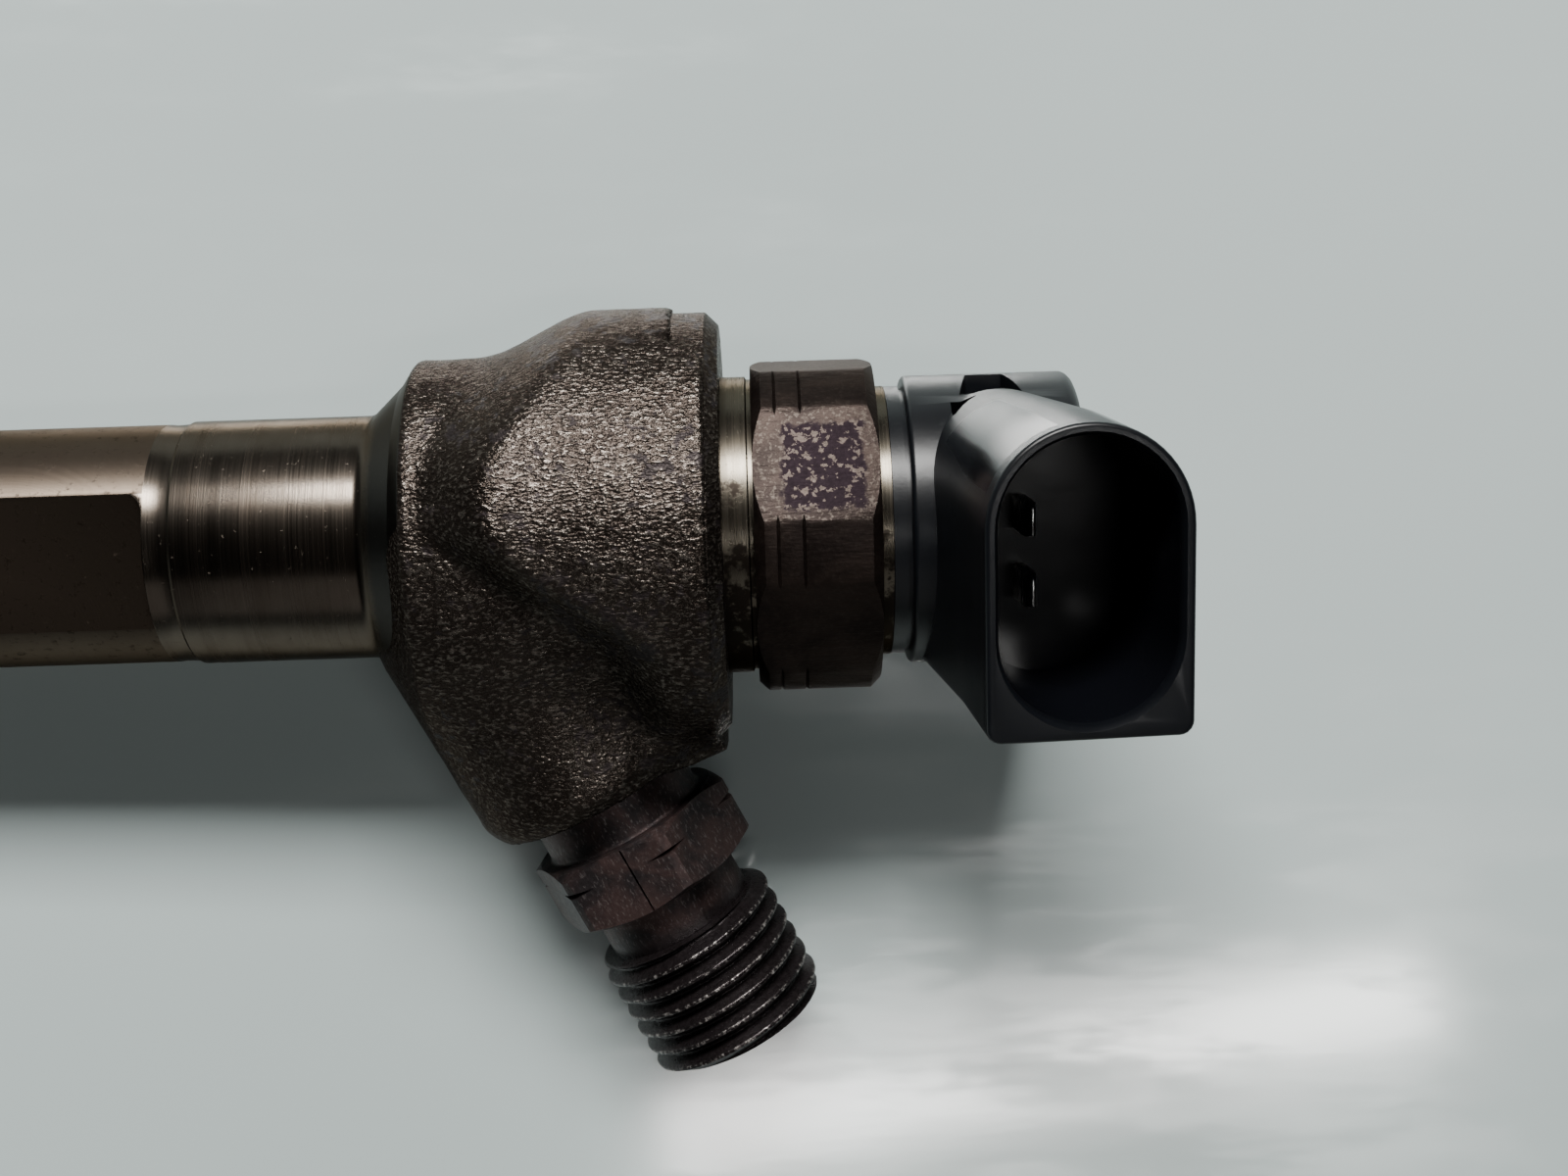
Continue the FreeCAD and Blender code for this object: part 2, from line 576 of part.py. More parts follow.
def make_injector_body():
    body = new_body("injector_body")
    revolve(body, [
        ("nozzle_top", "0"), ("nozzle_top", "body_thread"), ("stem_start", "body_thread"),
        ("stem_start", "stem_radius"), ("land_start", "stem_radius"), ("land_start", "land_radius"),
        ("stem_end", "land_radius"), (from_stem("cone_at"), "cone_radius"),
        (from_stem("neck_at"), "neck_radius"), (from_stem("neck_end_at"), "neck_radius"),
        (from_stem("rise_at"), "rise_radius"), (from_stem("forge_at"), "forge_radius"),
        (from_stem("forge_step_at"), "forge_radius"),
        (from_stem("forge_step_at"), "forge_step_radius"),
        (from_stem("face_at - face_chamfer"), "forge_step_radius"),
        (from_stem("face_at"), "forge_step_radius - face_chamfer"),
        (from_stem("face_at"), "undercut_radius"), (from_stem("undercut_end_at"), "undercut_radius"),
        (from_stem("undercut_end_at"), "spigot_radius"),
        (from_stem("spigot_end_at"), "spigot_radius"), (from_stem("spigot_end_at"), "0"),
    ])
    revolve(body, [
        ("0", "0"), ("0", "inlet_boss_radius"), ("inlet_boss_taper", "inlet_boss_radius"),
        ("inlet_boss_end", "inlet_boss_face"), ("inlet_boss_end", "0"),
    ], on_inlet=True)
    for hand in (1, -1):
        flat = new_sketch(body, "XZ_Plane")
        reach = "stem_radius + 1"
        edge = f"{hand} * clamp_across / 2"
        draw_outline(flat, [("clamp_start", edge), ("clamp_end", edge),
                            ("clamp_end", f"{hand} * ({reach})"), ("clamp_start", f"{hand} * ({reach})")])
        pocket(body, flat, f"2 * ({reach})", both=True)
    revolve(body, [
        ("nozzle_top", "0"), ("nozzle_top", "spring_bore"), ("spring_bore_end", "spring_bore"),
        ("spring_bore_end", "piston_bore"), (from_stem("sleeve_bore_at"), "piston_bore"),
        (from_stem("sleeve_bore_at"), "sleeve_bore"), (from_stem("flange_bore_at"), "sleeve_bore"),
        (from_stem("flange_bore_at"), "flange_bore"), (from_stem("screw_bore_at"), "flange_bore"),
        (from_stem("screw_bore_at"), "screw_bore"), (from_stem("magnet_bore_at"), "screw_bore"),
        (from_stem("magnet_bore_at"), "magnet_bore"), (from_stem("spigot_end_at"), "magnet_bore"),
        (from_stem("spigot_end_at"), "0"),
    ], cut=True)
    revolve(body, [
        ("0", "0"), ("0", "inlet_drill"), ("inlet_socket", "inlet_drill"),
        ("inlet_socket", "inlet_socket_radius"), ("inlet_boss_end", "inlet_socket_radius"),
        ("inlet_boss_end", "0"),
    ], cut=True, on_inlet=True)
    drill(body, "nozzle_top", from_stem("feed_end_at"), "feed_offset", "feed_radius")
    for hand in (1, -1):
        dowel_hole(body, hand, "nozzle_top", "nozzle_top + dowel_length / 2")
    return body


# Control valve and armature


def make_control_valve():
    turned("valve_body", [
        ("sleeve_at", "0"), ("sleeve_at", "sleeve_radius"), ("flange_bore_at", "sleeve_radius"),
        ("flange_bore_at", "valve_flange_radius"), ("screw_bore_at", "valve_flange_radius"),
        ("screw_bore_at", "0"),
    ], [
        ("sleeve_at", "0"), ("sleeve_at", "valve_guide"), ("chamber_at", "valve_guide"),
        ("chamber_at", "throttle_radius"), ("ball_seat_at", "throttle_radius"),
        ("screw_bore_at", "ball_seat_radius"), ("screw_bore_at", "0"),
    ], "stem_end")
    turned("valve_body_seal", block("seal_at", "seal_at + seal_length", "seal_radius", "seal_bore"),
           start="stem_end")
    screw = turned("valve_clamping_screw",
                   block("screw_bore_at", "magnet_bore_at", "screw_radius", "screw_passage"),
                   start="stem_end")
    socket = new_sketch(screw, "YZ_Plane", ("0", "0", from_stem("screw_socket_at")))
    draw_hexagon(socket, "screw_socket_across")
    pocket(screw, socket, "magnet_bore_at - screw_socket_at")
    ball = doc.addObject("Part::Sphere", "valve_ball")
    ball.Label = "valve_ball"
    ball.setExpression("Radius", bound("ball_radius"))
    lay_down(ball)
    ball.setExpression("Placement.Base.x", bound(from_stem("ball_at")))
    turned("ball_holder", [
        ("holder_at", "0"), ("holder_at", "holder_radius"), ("holder_end_at", "holder_radius"),
        ("holder_end_at", "0"),
    ], [
        ("holder_at", "0"), ("holder_at", "holder_cup_radius"),
        ("holder_cup_at", "holder_cup_radius / 3"), ("holder_cup_at", "0"),
    ], "stem_end")


def make_armature():
    guide = turned("armature_guide", [
        ("guide_tube_at", "guide_bore"), ("guide_tube_at", "guide_tube_radius"),
        ("magnet_bore_at", "guide_tube_radius"), ("magnet_bore_at", "guide_radius"),
        ("guide_end_at", "guide_radius"), ("guide_end_at", "guide_tube_radius"),
        ("guide_tube_end_at", "guide_tube_radius"), ("guide_tube_end_at", "guide_bore"),
    ], start="stem_end")
    port = new_sketch(guide, "YZ_Plane", ("0", "0", from_stem("magnet_bore_at")))
    draw_circle(port, "guide_port_circle", "0", "guide_port_radius")
    hole = pocket(guide, port, "guide_end_at - magnet_bore_at")
    repeat_round_x(guide, hole, 3)
    turned("lift_shim", block("guide_end_at", "lift_shim_end_at", "lift_shim_radius", "lift_shim_bore"),
           start="stem_end")
    plate = turned("armature_plate", block("plate_at", "plate_end_at", "plate_radius", "plate_bore"),
                   start="stem_end")
    slot = new_sketch(plate, "YZ_Plane", ("0", "0", from_stem("plate_at")))
    half = "plate_slot_width / 2"
    floor = "plate_radius - plate_slot_depth"
    draw_outline(slot, [(floor, f"-{half}"), ("plate_radius + 1", f"-{half}"),
                        ("plate_radius + 1", half), (floor, half)])
    repeat_round_x(plate, pocket(plate, slot, "plate_end_at - plate_at"), 6)
    turned("armature_bolt", [
        ("holder_end_at", "0"), ("holder_end_at", "bolt_radius"), ("clip_at", "bolt_radius"),
        ("clip_at", "bolt_groove_radius"), ("clip_at + clip_thickness", "bolt_groove_radius"),
        ("clip_at + clip_thickness", "bolt_radius"), ("bolt_end_at", "bolt_radius"),
        ("bolt_end_at", "0"),
    ], start="stem_end")
    clip = turned("armature_clip", block("clip_at + 0.02", "clip_at + clip_thickness - 0.02",
                                         "clip_radius", "bolt_groove_radius + 0.02"),
                  start="stem_end")
    mouth = new_sketch(clip, "YZ_Plane", ("0", "0", from_stem("clip_at")))
    draw_outline(mouth, [("0", "-clip_gap / 2"), ("clip_radius + 1", "-clip_gap / 2"),
                         ("clip_radius + 1", "clip_gap / 2"), ("0", "clip_gap / 2")])
    pocket(clip, mouth, "clip_thickness")
    coil_spring("overtravel_spring", "guide_end_at", "plate_at", "over_coil_radius", "over_wire",
                "over_pitch", "stem_end")


# Solenoid


def make_solenoid():
    turned("magnet_core", block("magnet_at", "magnet_end_at", "magnet_radius", "magnet_passage"),
           block("magnet_at", "slot_end_at", "slot_outer", "slot_inner"), "stem_end")
    turned("coil_bobbin", block("bobbin_at", "bobbin_end_at", "bobbin_outer", "bobbin_inner"),
           block("bobbin_at + bobbin_wall", "bobbin_end_at - bobbin_wall", "bobbin_outer",
                 "bobbin_inner + bobbin_wall"), "stem_end")
    turned("coil_winding", block("bobbin_at + bobbin_wall + winding_gap",
                                 "bobbin_end_at - bobbin_wall - winding_gap",
                                 "bobbin_outer - winding_gap",
                                 "bobbin_inner + bobbin_wall + winding_gap"), start="stem_end")
    turned("magnet_sleeve", [
        ("lift_shim_end_at", "magnet_sleeve_bore"), ("lift_shim_end_at", "magnet_sleeve_low"),
        ("ring_groove_at", "magnet_sleeve_low"), ("ring_groove_at", "ring_groove_radius"),
        ("ring_groove_at + ring_groove_width", "ring_groove_radius"),
        ("ring_groove_at + ring_groove_width", "magnet_sleeve_low"),
        ("magnet_flange_at", "magnet_sleeve_low"), ("magnet_flange_at", "magnet_flange_radius"),
        ("magnet_flange_end_at", "magnet_flange_radius"),
        ("magnet_flange_end_at", "magnet_ring_radius"), ("magnet_ring_end_at", "magnet_ring_radius"),
        ("magnet_ring_end_at", "magnet_sleeve_bore"),
    ], start="stem_end")
    ring = new_body("solenoid_oring")
    section = new_sketch(ring, "XY_Plane", ("stem_end", "0", "0"))
    draw_circle(section, "ring_groove_at + ring_groove_width / 2", "ring_groove_radius + ring_wire",
                "ring_wire - 0.005")
    turning = ring.newObject("PartDesign::Revolution", "Turning")
    turning.Profile = section
    turning.ReferenceAxis = (section, ["H_Axis"])
    turning.Angle = 360
    coil_spring("solenoid_spring", "bolt_end_at", "force_shim_at", "return_coil_radius",
                "return_wire", "return_pitch", "stem_end")
    turned("spring_force_shim", block("force_shim_at", "force_shim_end_at", "force_shim_radius"),
           start="stem_end")
    nut = turned("solenoid_nut", [
        ("nut_at", "nut_relief"), ("nut_at", "nut_radius - nut_chamfer / 3"),
        ("nut_at + nut_chamfer / 3", "nut_radius"), ("nut_end_at - nut_chamfer", "nut_radius"),
        ("nut_end_at", "nut_radius - nut_chamfer"), ("nut_end_at", "nut_passage"),
        ("nut_shoulder_at", "nut_passage"), ("nut_shoulder_at", "nut_thread"),
        ("nut_relief_end_at", "nut_thread"), ("nut_relief_end_at", "nut_relief"),
    ], start="stem_end")
    mill_hexagon(nut, "nut_across", from_stem("nut_at"), from_stem("nut_end_at"), "nut_radius + 2")


# Head moulding


def draw_d_outline(sketch, width, length, corner):
    """The connector's outline: a half round at +Y and a flat end with small corners at -Y."""
    wide, far, small = size(width) / 2, size(length) / 2, size(corner)
    middle = far - wide
    lean = small * (1 - math.sqrt(0.5))
    left_corner = [(-wide, small - far), (lean - wide, lean - far), (small - wide, -far)]
    right_corner = [(-x, y) for x, y in reversed(left_corner)]
    arc = Part.Arc(*(FreeCAD.Vector(x, y, 0) for x, y in ((wide, middle), (0, far), (-wide, middle))))
    first = sketch.addGeometry(arc, False)
    runs = [((-wide, middle), left_corner[0]), (left_corner[2], right_corner[0]),
            (right_corner[2], (wide, middle))]
    for start, end in runs:
        sketch.addGeometry(Part.LineSegment(FreeCAD.Vector(*start, 0), FreeCAD.Vector(*end, 0)), False)
    for corner_points in (left_corner, right_corner):
        sketch.addGeometry(Part.Arc(*(FreeCAD.Vector(x, y, 0) for x, y in corner_points)), False)
    joins = [(0, 2, 1, 1), (1, 2, 4, 1), (4, 2, 2, 1), (2, 2, 5, 1), (5, 2, 3, 1), (3, 2, 0, 1)]
    for one, one_end, other, other_end in joins:
        sketch.addConstraint(
            Sketcher.Constraint("Coincident", first + one, one_end, first + other, other_end))
    drive(sketch, "Radius", (first,), f"{width} / 2")


def draw_stadium(sketch, width, length):
    """A slot outline with round ends, its length along Y."""
    wide, middle = size(width) / 2, (size(length) - size(width)) / 2
    ends = [((wide, middle), (0, middle + wide), (-wide, middle)),
            ((-wide, -middle), (0, -middle - wide), (wide, -middle))]
    for end in ends:
        sketch.addGeometry(Part.Arc(*(FreeCAD.Vector(x, y, 0) for x, y in end)), False)
    for side in (-1, 1):
        high, low = FreeCAD.Vector(side * wide, middle, 0), FreeCAD.Vector(side * wide, -middle, 0)
        sketch.addGeometry(Part.LineSegment(high, low), False)
    for one, one_end, other, other_end in ((0, 2, 2, 1), (2, 2, 1, 1), (1, 2, 3, 2), (3, 1, 0, 1)):
        sketch.addConstraint(Sketcher.Constraint("Coincident", one, one_end, other, other_end))
    drive(sketch, "Radius", (0,), f"{width} / 2")


def rim_point(down):
    """A point on the connector's leaning middle line, so far below the rim, as x, y, z formulas."""
    return (from_stem(f"rim_at - ({down}) * sin(rim_tilt * 1 deg)"), "0",
            f"rim_height - ({down}) * cos(rim_tilt * 1 deg)")


def connector_sketch(body, down):
    """A sketch square to the connector's leaning middle line, so far below its rim."""
    return new_sketch(body, "XY_Plane", rim_point(down), FreeCAD.Vector(0, 1, 0), "rim_tilt")


def make_connector_housing():
    body = turned("connector_housing", [
        ("plug_at", "0"), ("plug_at", "plug_radius"), ("magnet_ring_end_at", "plug_radius"),
        ("magnet_ring_end_at", "collar_radius_black"), ("head_at", "collar_radius_black"),
        ("head_at", "head_radius - head_round"), ("head_at + head_round", "head_radius"),
        ("head_end_at - head_round", "head_radius"), ("head_end_at", "head_radius - head_round"),
        ("head_end_at", "0"),
    ], start="stem_end")
    root = new_sketch(body, "XY_Plane", (from_stem("root_at"), "0", "root_height"))
    draw_d_outline(root, "root_width", "rim_length", "rim_corner")
    shoulder = connector_sketch(body, "rim_straight")
    draw_d_outline(shoulder, "rim_width", "rim_length", "rim_corner")
    loft = body.newObject("PartDesign::AdditiveLoft", "Neck")
    loft.Profile = root
    loft.Sections = [shoulder]
    loft.Ruled = True
    skirt = connector_sketch(body, "rim_straight")
    draw_d_outline(skirt, "rim_width", "rim_length", "rim_corner")
    pad = body.newObject("PartDesign::Pad", "Skirt")
    pad.Profile = skirt
    pad.Length = size("rim_straight")
    pad.setExpression("Length", bound("rim_straight"))
    mouth = connector_sketch(body, "0")
    draw_stadium(mouth, "cavity_width", "cavity_length")
    pocket(body, mouth, "cavity_depth", ahead=False)
    revolve(body, [
        ("plug_at", "0"), ("plug_at", "vent_radius"), ("port_at", "vent_radius"),
        ("port_at", "port_radius"), ("head_end_at", "port_radius"), ("head_end_at", "0"),
    ], cut=True, start="stem_end")
    for hand in (1, -1):
        slot = connector_sketch(body, "cavity_depth")
        draw_blade_outline(slot, hand, "0.01")
        pocket(body, slot, "blade_tip + blade_length - cavity_depth + 0.02", ahead=False)
    return body


def draw_blade_outline(sketch, hand, clearance):
    """One terminal's cross-section, beside the connector's middle."""
    middle = f"{hand} * blade_pitch / 2"
    thick = f"(blade_thickness / 2 + {clearance})"
    wide = f"(blade_width / 2 + {clearance})"
    back, front = f"blade_offset - {thick}", f"blade_offset + {thick}"
    low, high = f"{middle} - {wide}", f"{middle} + {wide}"
    draw_outline(sketch, [(back, low), (front, low), (front, high), (back, high)])


def make_terminal_pins():
    """Two blade terminals, one node."""
    blades = []
    for hand, name in ((1, "blade_upper"), (-1, "blade_lower")):
        body = doc.addObject("PartDesign::Body", name)
        sketch = connector_sketch(body, "blade_tip")
        draw_blade_outline(sketch, hand, "0")
        pad = body.newObject("PartDesign::Pad", "Blade")
        pad.Profile = sketch
        pad.Reversed = True
        pad.Length = size("blade_length")
        pad.setExpression("Length", bound("blade_length"))
        doc.recompute()
        tip = max(range(len(pad.Shape.Faces)), key=lambda n: pad.Shape.Faces[n].CenterOfMass.z)
        bevel = body.newObject("PartDesign::Chamfer", "Tip")
        bevel.Base = (pad, [f"Face{tip + 1}"])
        bevel.Size = size("blade_bevel")
        bevel.setExpression("Size", bound("blade_bevel"))
        blades.append(body)
    pair = doc.addObject("Part::Compound", "terminal_pins")
    pair.Links = blades
    pair.Label = "terminal_pins"
    return lay_down(pair)


# Inlet union


def make_inlet():
    """The inlet union and its edge filter, made along X and moved onto the union's axis."""
    relief = "inlet_relief_radius"
    union = turned("inlet_fitting", [
        ("inlet_socket + 0.1", "0"), ("inlet_socket + 0.1", "inlet_root_radius"),
        ("inlet_boss_end", "inlet_root_radius"), ("inlet_boss_end", "inlet_neck_radius"),
        ("inlet_hex_start", "inlet_neck_radius"),
        ("inlet_hex_start", "inlet_hex_radius - inlet_hex_chamfer"),
        ("inlet_hex_start + inlet_hex_chamfer / 2", "inlet_hex_radius"),
        ("inlet_hex_end - inlet_hex_chamfer / 2", "inlet_hex_radius"),
        ("inlet_hex_end", "inlet_hex_radius - inlet_hex_chamfer"), ("inlet_hex_end", relief),
        ("inlet_thread_start", relief),
        ("inlet_thread_start + inlet_thread_chamfer", "inlet_thread_radius"),
        ("inlet_end - inlet_thread_chamfer", "inlet_thread_radius"),
        ("inlet_end", "inlet_thread_radius - inlet_thread_chamfer"), ("inlet_end", "0"),
    ], [
        ("inlet_socket", "0"), ("inlet_socket", "inlet_bore"), ("inlet_filter_start", "inlet_bore"),
        ("inlet_filter_start", "inlet_filter_bore"), ("inlet_cone_start", "inlet_filter_bore"),
        ("inlet_end", "inlet_cone_radius"), ("inlet_end", "0"),
    ])
    mill_hexagon(union, "inlet_hex_across", "inlet_hex_start", "inlet_hex_end", "inlet_hex_radius + 1")
    filter_rod = turned("edge_filter", [
        ("filter_start", "0"), ("filter_start", "filter_radius"),
        ("filter_start + filter_land", "filter_radius"), ("filter_start + filter_land", "filter_waist"),
        ("filter_end - filter_land", "filter_waist"), ("filter_end - filter_land", "filter_radius"),
        ("filter_end", "filter_radius"), ("filter_end", "0"),
    ])
    for piece in (union, filter_rod):
        move_to_inlet(piece)


def make_return_port_sleeve():
    return turned("return_port_sleeve",
                  block("port_at", "head_end_at", "port_sleeve_radius", "port_sleeve_bore"),
                  start="stem_end")


def make_sealing_washer():
    return turned("sealing_washer", block("0", "washer_thickness", "washer_radius", "washer_bore"))


def export_pieces():
    """Checks every object of the document, then writes each piece to its own file."""
    doc.recompute()
    for item in doc.Objects:
        if "Invalid" in item.State or "Error" in item.State:
            raise RuntimeError(f"{item.Name} of {item.Label} failed: {item.State}")
    for piece in pieces:
        if piece.Shape.isNull() or not piece.Shape.isValid():
            raise RuntimeError(f"{piece.Label} has no valid shape")
    os.makedirs("parts", exist_ok=True)
    for piece in pieces:
        piece.Shape.exportStep(f"parts/{piece.Label}.step")
        print(f"{piece.Label}: {piece.Shape.Volume:.1f} mm3, {len(piece.Shape.Solids)} solid(s)")


make_sealing_washer()
make_nozzle_body()
make_nozzle_needle()
make_nozzle_retaining_nut()
make_dowel_pins()
make_spring_train()
make_injector_body()
make_control_valve()
make_armature()
make_solenoid()
make_connector_housing()
make_terminal_pins()
make_return_port_sleeve()
make_inlet()
export_pieces()
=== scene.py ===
"""Looks of a used solenoid fuel injector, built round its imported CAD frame.

Pieces are shaped in the injector's own frame, in millimetres: X runs along its axis from the
washer's sealing face to the head, Z points up the plug socket and -Y towards the inlet union.
Placing a piece turns it about X, as the injector lies, and brings it to metres.
"""
from __future__ import annotations

import json
import logging
import math
import sys
from dataclasses import dataclass
from enum import Enum
from typing import Callable, Sequence

import bmesh
import bpy
import numpy as np
from mathutils import Matrix, Vector

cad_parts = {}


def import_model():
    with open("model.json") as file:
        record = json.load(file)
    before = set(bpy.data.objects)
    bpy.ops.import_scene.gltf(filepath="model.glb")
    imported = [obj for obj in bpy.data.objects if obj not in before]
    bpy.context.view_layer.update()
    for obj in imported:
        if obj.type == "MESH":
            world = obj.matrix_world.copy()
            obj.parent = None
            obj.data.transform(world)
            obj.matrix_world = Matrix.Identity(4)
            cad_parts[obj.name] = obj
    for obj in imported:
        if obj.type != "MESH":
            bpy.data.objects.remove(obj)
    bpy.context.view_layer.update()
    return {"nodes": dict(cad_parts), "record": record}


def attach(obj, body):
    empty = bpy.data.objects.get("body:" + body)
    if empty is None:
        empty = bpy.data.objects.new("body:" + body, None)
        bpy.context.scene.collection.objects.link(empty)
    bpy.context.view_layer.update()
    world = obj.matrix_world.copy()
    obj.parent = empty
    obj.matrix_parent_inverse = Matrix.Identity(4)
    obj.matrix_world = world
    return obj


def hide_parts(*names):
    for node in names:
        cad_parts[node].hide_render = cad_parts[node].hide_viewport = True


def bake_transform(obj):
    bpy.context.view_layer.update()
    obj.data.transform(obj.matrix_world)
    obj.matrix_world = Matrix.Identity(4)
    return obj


log = logging.getLogger("injector")

MM = 0.001
Profile = list[tuple[float, ...]]
Colour = tuple[float, float, float]


class Slot(Enum):
    """The record's material slots that the visible pieces take their finish from."""

    FORGED = "forged_steel"
    TURNED = "turned_steel"
    NOZZLE = "nozzle_steel"
    HARDENED = "hardened_steel"
    COPPER = "copper"
    BRIGHT = "bright_steel"
    NUT = "phosphated_steel"
    PLASTIC = "black_plastic"
    TERMINAL = "tinned_terminal"
    UNION = "union_steel"
    SPRING = "spring_steel"


# ---------------------------------------------------------------------------------------------
# Node trees written as expressions
# ---------------------------------------------------------------------------------------------


def arithmetic(operation: str, swapped: bool = False) -> Callable[[Field, Operand], Field]:
    """A method of Field that adds one Math node.

    Args:
        operation: The node's operation.
        swapped: Whether the method's own value comes second.

    Returns:
        The method.
    """
    def method(mine: Field, other: Operand) -> Field:
        """Joins two values in one Math node."""
        return mine.graph.math(operation, *((other, mine) if swapped else (mine, other)))
    return method


class Field:
    """A value socket of a node tree, with arithmetic that adds Math nodes."""

    __add__ = __radd__ = arithmetic("ADD")
    __sub__, __rsub__ = arithmetic("SUBTRACT"), arithmetic("SUBTRACT", swapped=True)
    __mul__ = __rmul__ = arithmetic("MULTIPLY")
    __truediv__ = arithmetic("DIVIDE")
    __pow__ = arithmetic("POWER")
    least = arithmetic("MINIMUM")
    most = arithmetic("MAXIMUM")

    def __init__(self, graph: Graph, socket: bpy.types.NodeSocket) -> None:
        """Keeps the graph and the socket."""
        self.graph = graph
        self.socket = socket

    def __neg__(self) -> Field:
        """-self."""
        return self * -1.0

    def __abs__(self) -> Field:
        """abs(self)."""
        return self.math("ABSOLUTE")

    def math(self, operation: str, *others: Operand, clamp: bool = False) -> Field:
        """Adds one Math node that starts from this value.

        Args:
            operation: The node's operation.
            others: Its further inputs, in order.
            clamp: Whether the result is held between 0 and 1.

        Returns:
            The node's result.
        """
        return self.graph.math(operation, self, *others, clamp=clamp)

    def unit(self) -> Field:
        """This value held between 0 and 1."""
        return self.math("ADD", 0.0, clamp=True)

    def eased(self) -> Field:
        """This value held between 0 and 1, with a smooth start and end."""
        part = self.unit()
        return part * part * (3.0 - 2.0 * part)

    def between(self, low: float, high: float) -> Field:
        """Rises smoothly from 0 at low to 1 at high, or falls if high is below low."""
        return ((self - low) / (high - low)).eased()


Operand = Field | float | int


class Graph:
    """A shader or geometry node tree that is written as expressions."""

    def __init__(self, tree: bpy.types.NodeTree) -> None:
        """Keeps the tree."""
        self.tree = tree

    def node(self, kind: str, settings: dict | None = None,
             inputs: dict | None = None) -> bpy.types.Node:
        """Adds a node.

        Args:
            kind: The node's type.
            settings: Properties to set before its sockets are used.
            inputs: Socket name or index to a Field, another socket or a plain value.

        Returns:
            The new node.
        """
        made = self.tree.nodes.new(kind)
        for name, value in (settings or {}).items():
            setattr(made, name, value)
        for key, value in (inputs or {}).items():
            self.feed(made.inputs[key], value)
        return made

    def feed(self, socket: bpy.types.NodeSocket, value: object) -> None:
        """Links or sets one input socket."""
        if isinstance(value, Field):
            value = value.socket
        if isinstance(value, bpy.types.NodeSocket):
            self.tree.links.new(value, socket)
        else:
            socket.default_value = value

    def math(self, operation: str, *values: Operand, clamp: bool = False) -> Field:
        """Adds a Math node and returns its result."""
        settings = {"operation": operation, "use_clamp": clamp}
        made = self.node("ShaderNodeMath", settings, dict(enumerate(values)))
        return Field(self, made.outputs[0])

    def split(self, vector: object) -> tuple[Field, Field, Field]:
        """The three numbers of a vector."""
        made = self.node("ShaderNodeSeparateXYZ", inputs={0: vector})
        return tuple(Field(self, made.outputs[axis]) for axis in range(3))

    def join(self, x: Operand, y: Operand, z: Operand) -> Field:
        """A vector from three numbers."""
        made = self.node("ShaderNodeCombineXYZ", inputs={0: x, 1: y, 2: z})
        return Field(self, made.outputs[0])

    def noise(self, vector: Field, scale: float, detail: float = 3.0, rough: float = 0.5,
              warp: float = 0.0) -> Field:
        """Fractal noise between 0 and 1, its mean near 0.5."""
        made = self.node("ShaderNodeTexNoise", {"noise_dimensions": "3D"}, {
            "Vector": vector, "Scale": scale, "Detail": detail, "Roughness": rough,
            "Distortion": warp})
        return Field(self, made.outputs[0])

    def mix(self, factor: Operand, low: object, high: object) -> Field:
        """A blend of two colours."""
        made = self.node("ShaderNodeMix", {"data_type": "RGBA"}, {"Factor": factor})
        for socket, value in zip((s for s in made.inputs if s.type == "RGBA"), (low, high)):
            self.feed(socket, (*value, 1.0) if isinstance(value, tuple) else value)
        return Field(self, next(s for s in made.outputs if s.type == "RGBA"))

    def edge(self) -> Field:
        """1 on the faces that soften rounded, else 0."""
        made = self.node("ShaderNodeAttribute", {"attribute_name": "edge"})
        return Field(self, made.outputs["Fac"])

    def rows(self, point: Place, way: tuple[float, float, float]) -> Field:
        """A point whose axes are stretched by three factors, for patterns that run one way."""
        return self.join(point.x * way[0], point.y * way[1], point.z * way[2])


@dataclass(frozen=True)
class Lie:
    """How the injector lies: its roll about X, and where its inlet union points."""

    roll: float
    inlet_angle: float
    inlet_foot: float = 117.4

    @classmethod
    def of(cls, record: dict) -> Lie:
        """Reads both angles from the record's mounts."""
        axes = {mount["name"]: mount["axis"] for mount in record["mounts"]}
        across = axes["clamp_flat_upper"]
        return cls(math.atan2(-across[1], across[2]), math.acos(axes["inlet_thread"][0]))

    def seat(self) -> Matrix:
        """From the injector's own millimetres to the row frame's metres."""
        return Matrix.Rotation(self.roll, 4, "X") @ Matrix.Scale(MM, 4)

    def inlet_seat(self) -> Matrix:
        """From millimetres along the inlet union, as X, to the row frame's metres."""
        foot = Matrix.Translation((self.inlet_foot, 0, 0))
        return self.seat() @ foot @ Matrix.Rotation(-self.inlet_angle, 4, "Z")


@dataclass(frozen=True)
class Place:
    """Where a shaded point lies, in millimetres, with its distance from the X axis."""

    point: Field
    x: Field
    y: Field
    z: Field
    radius: Field


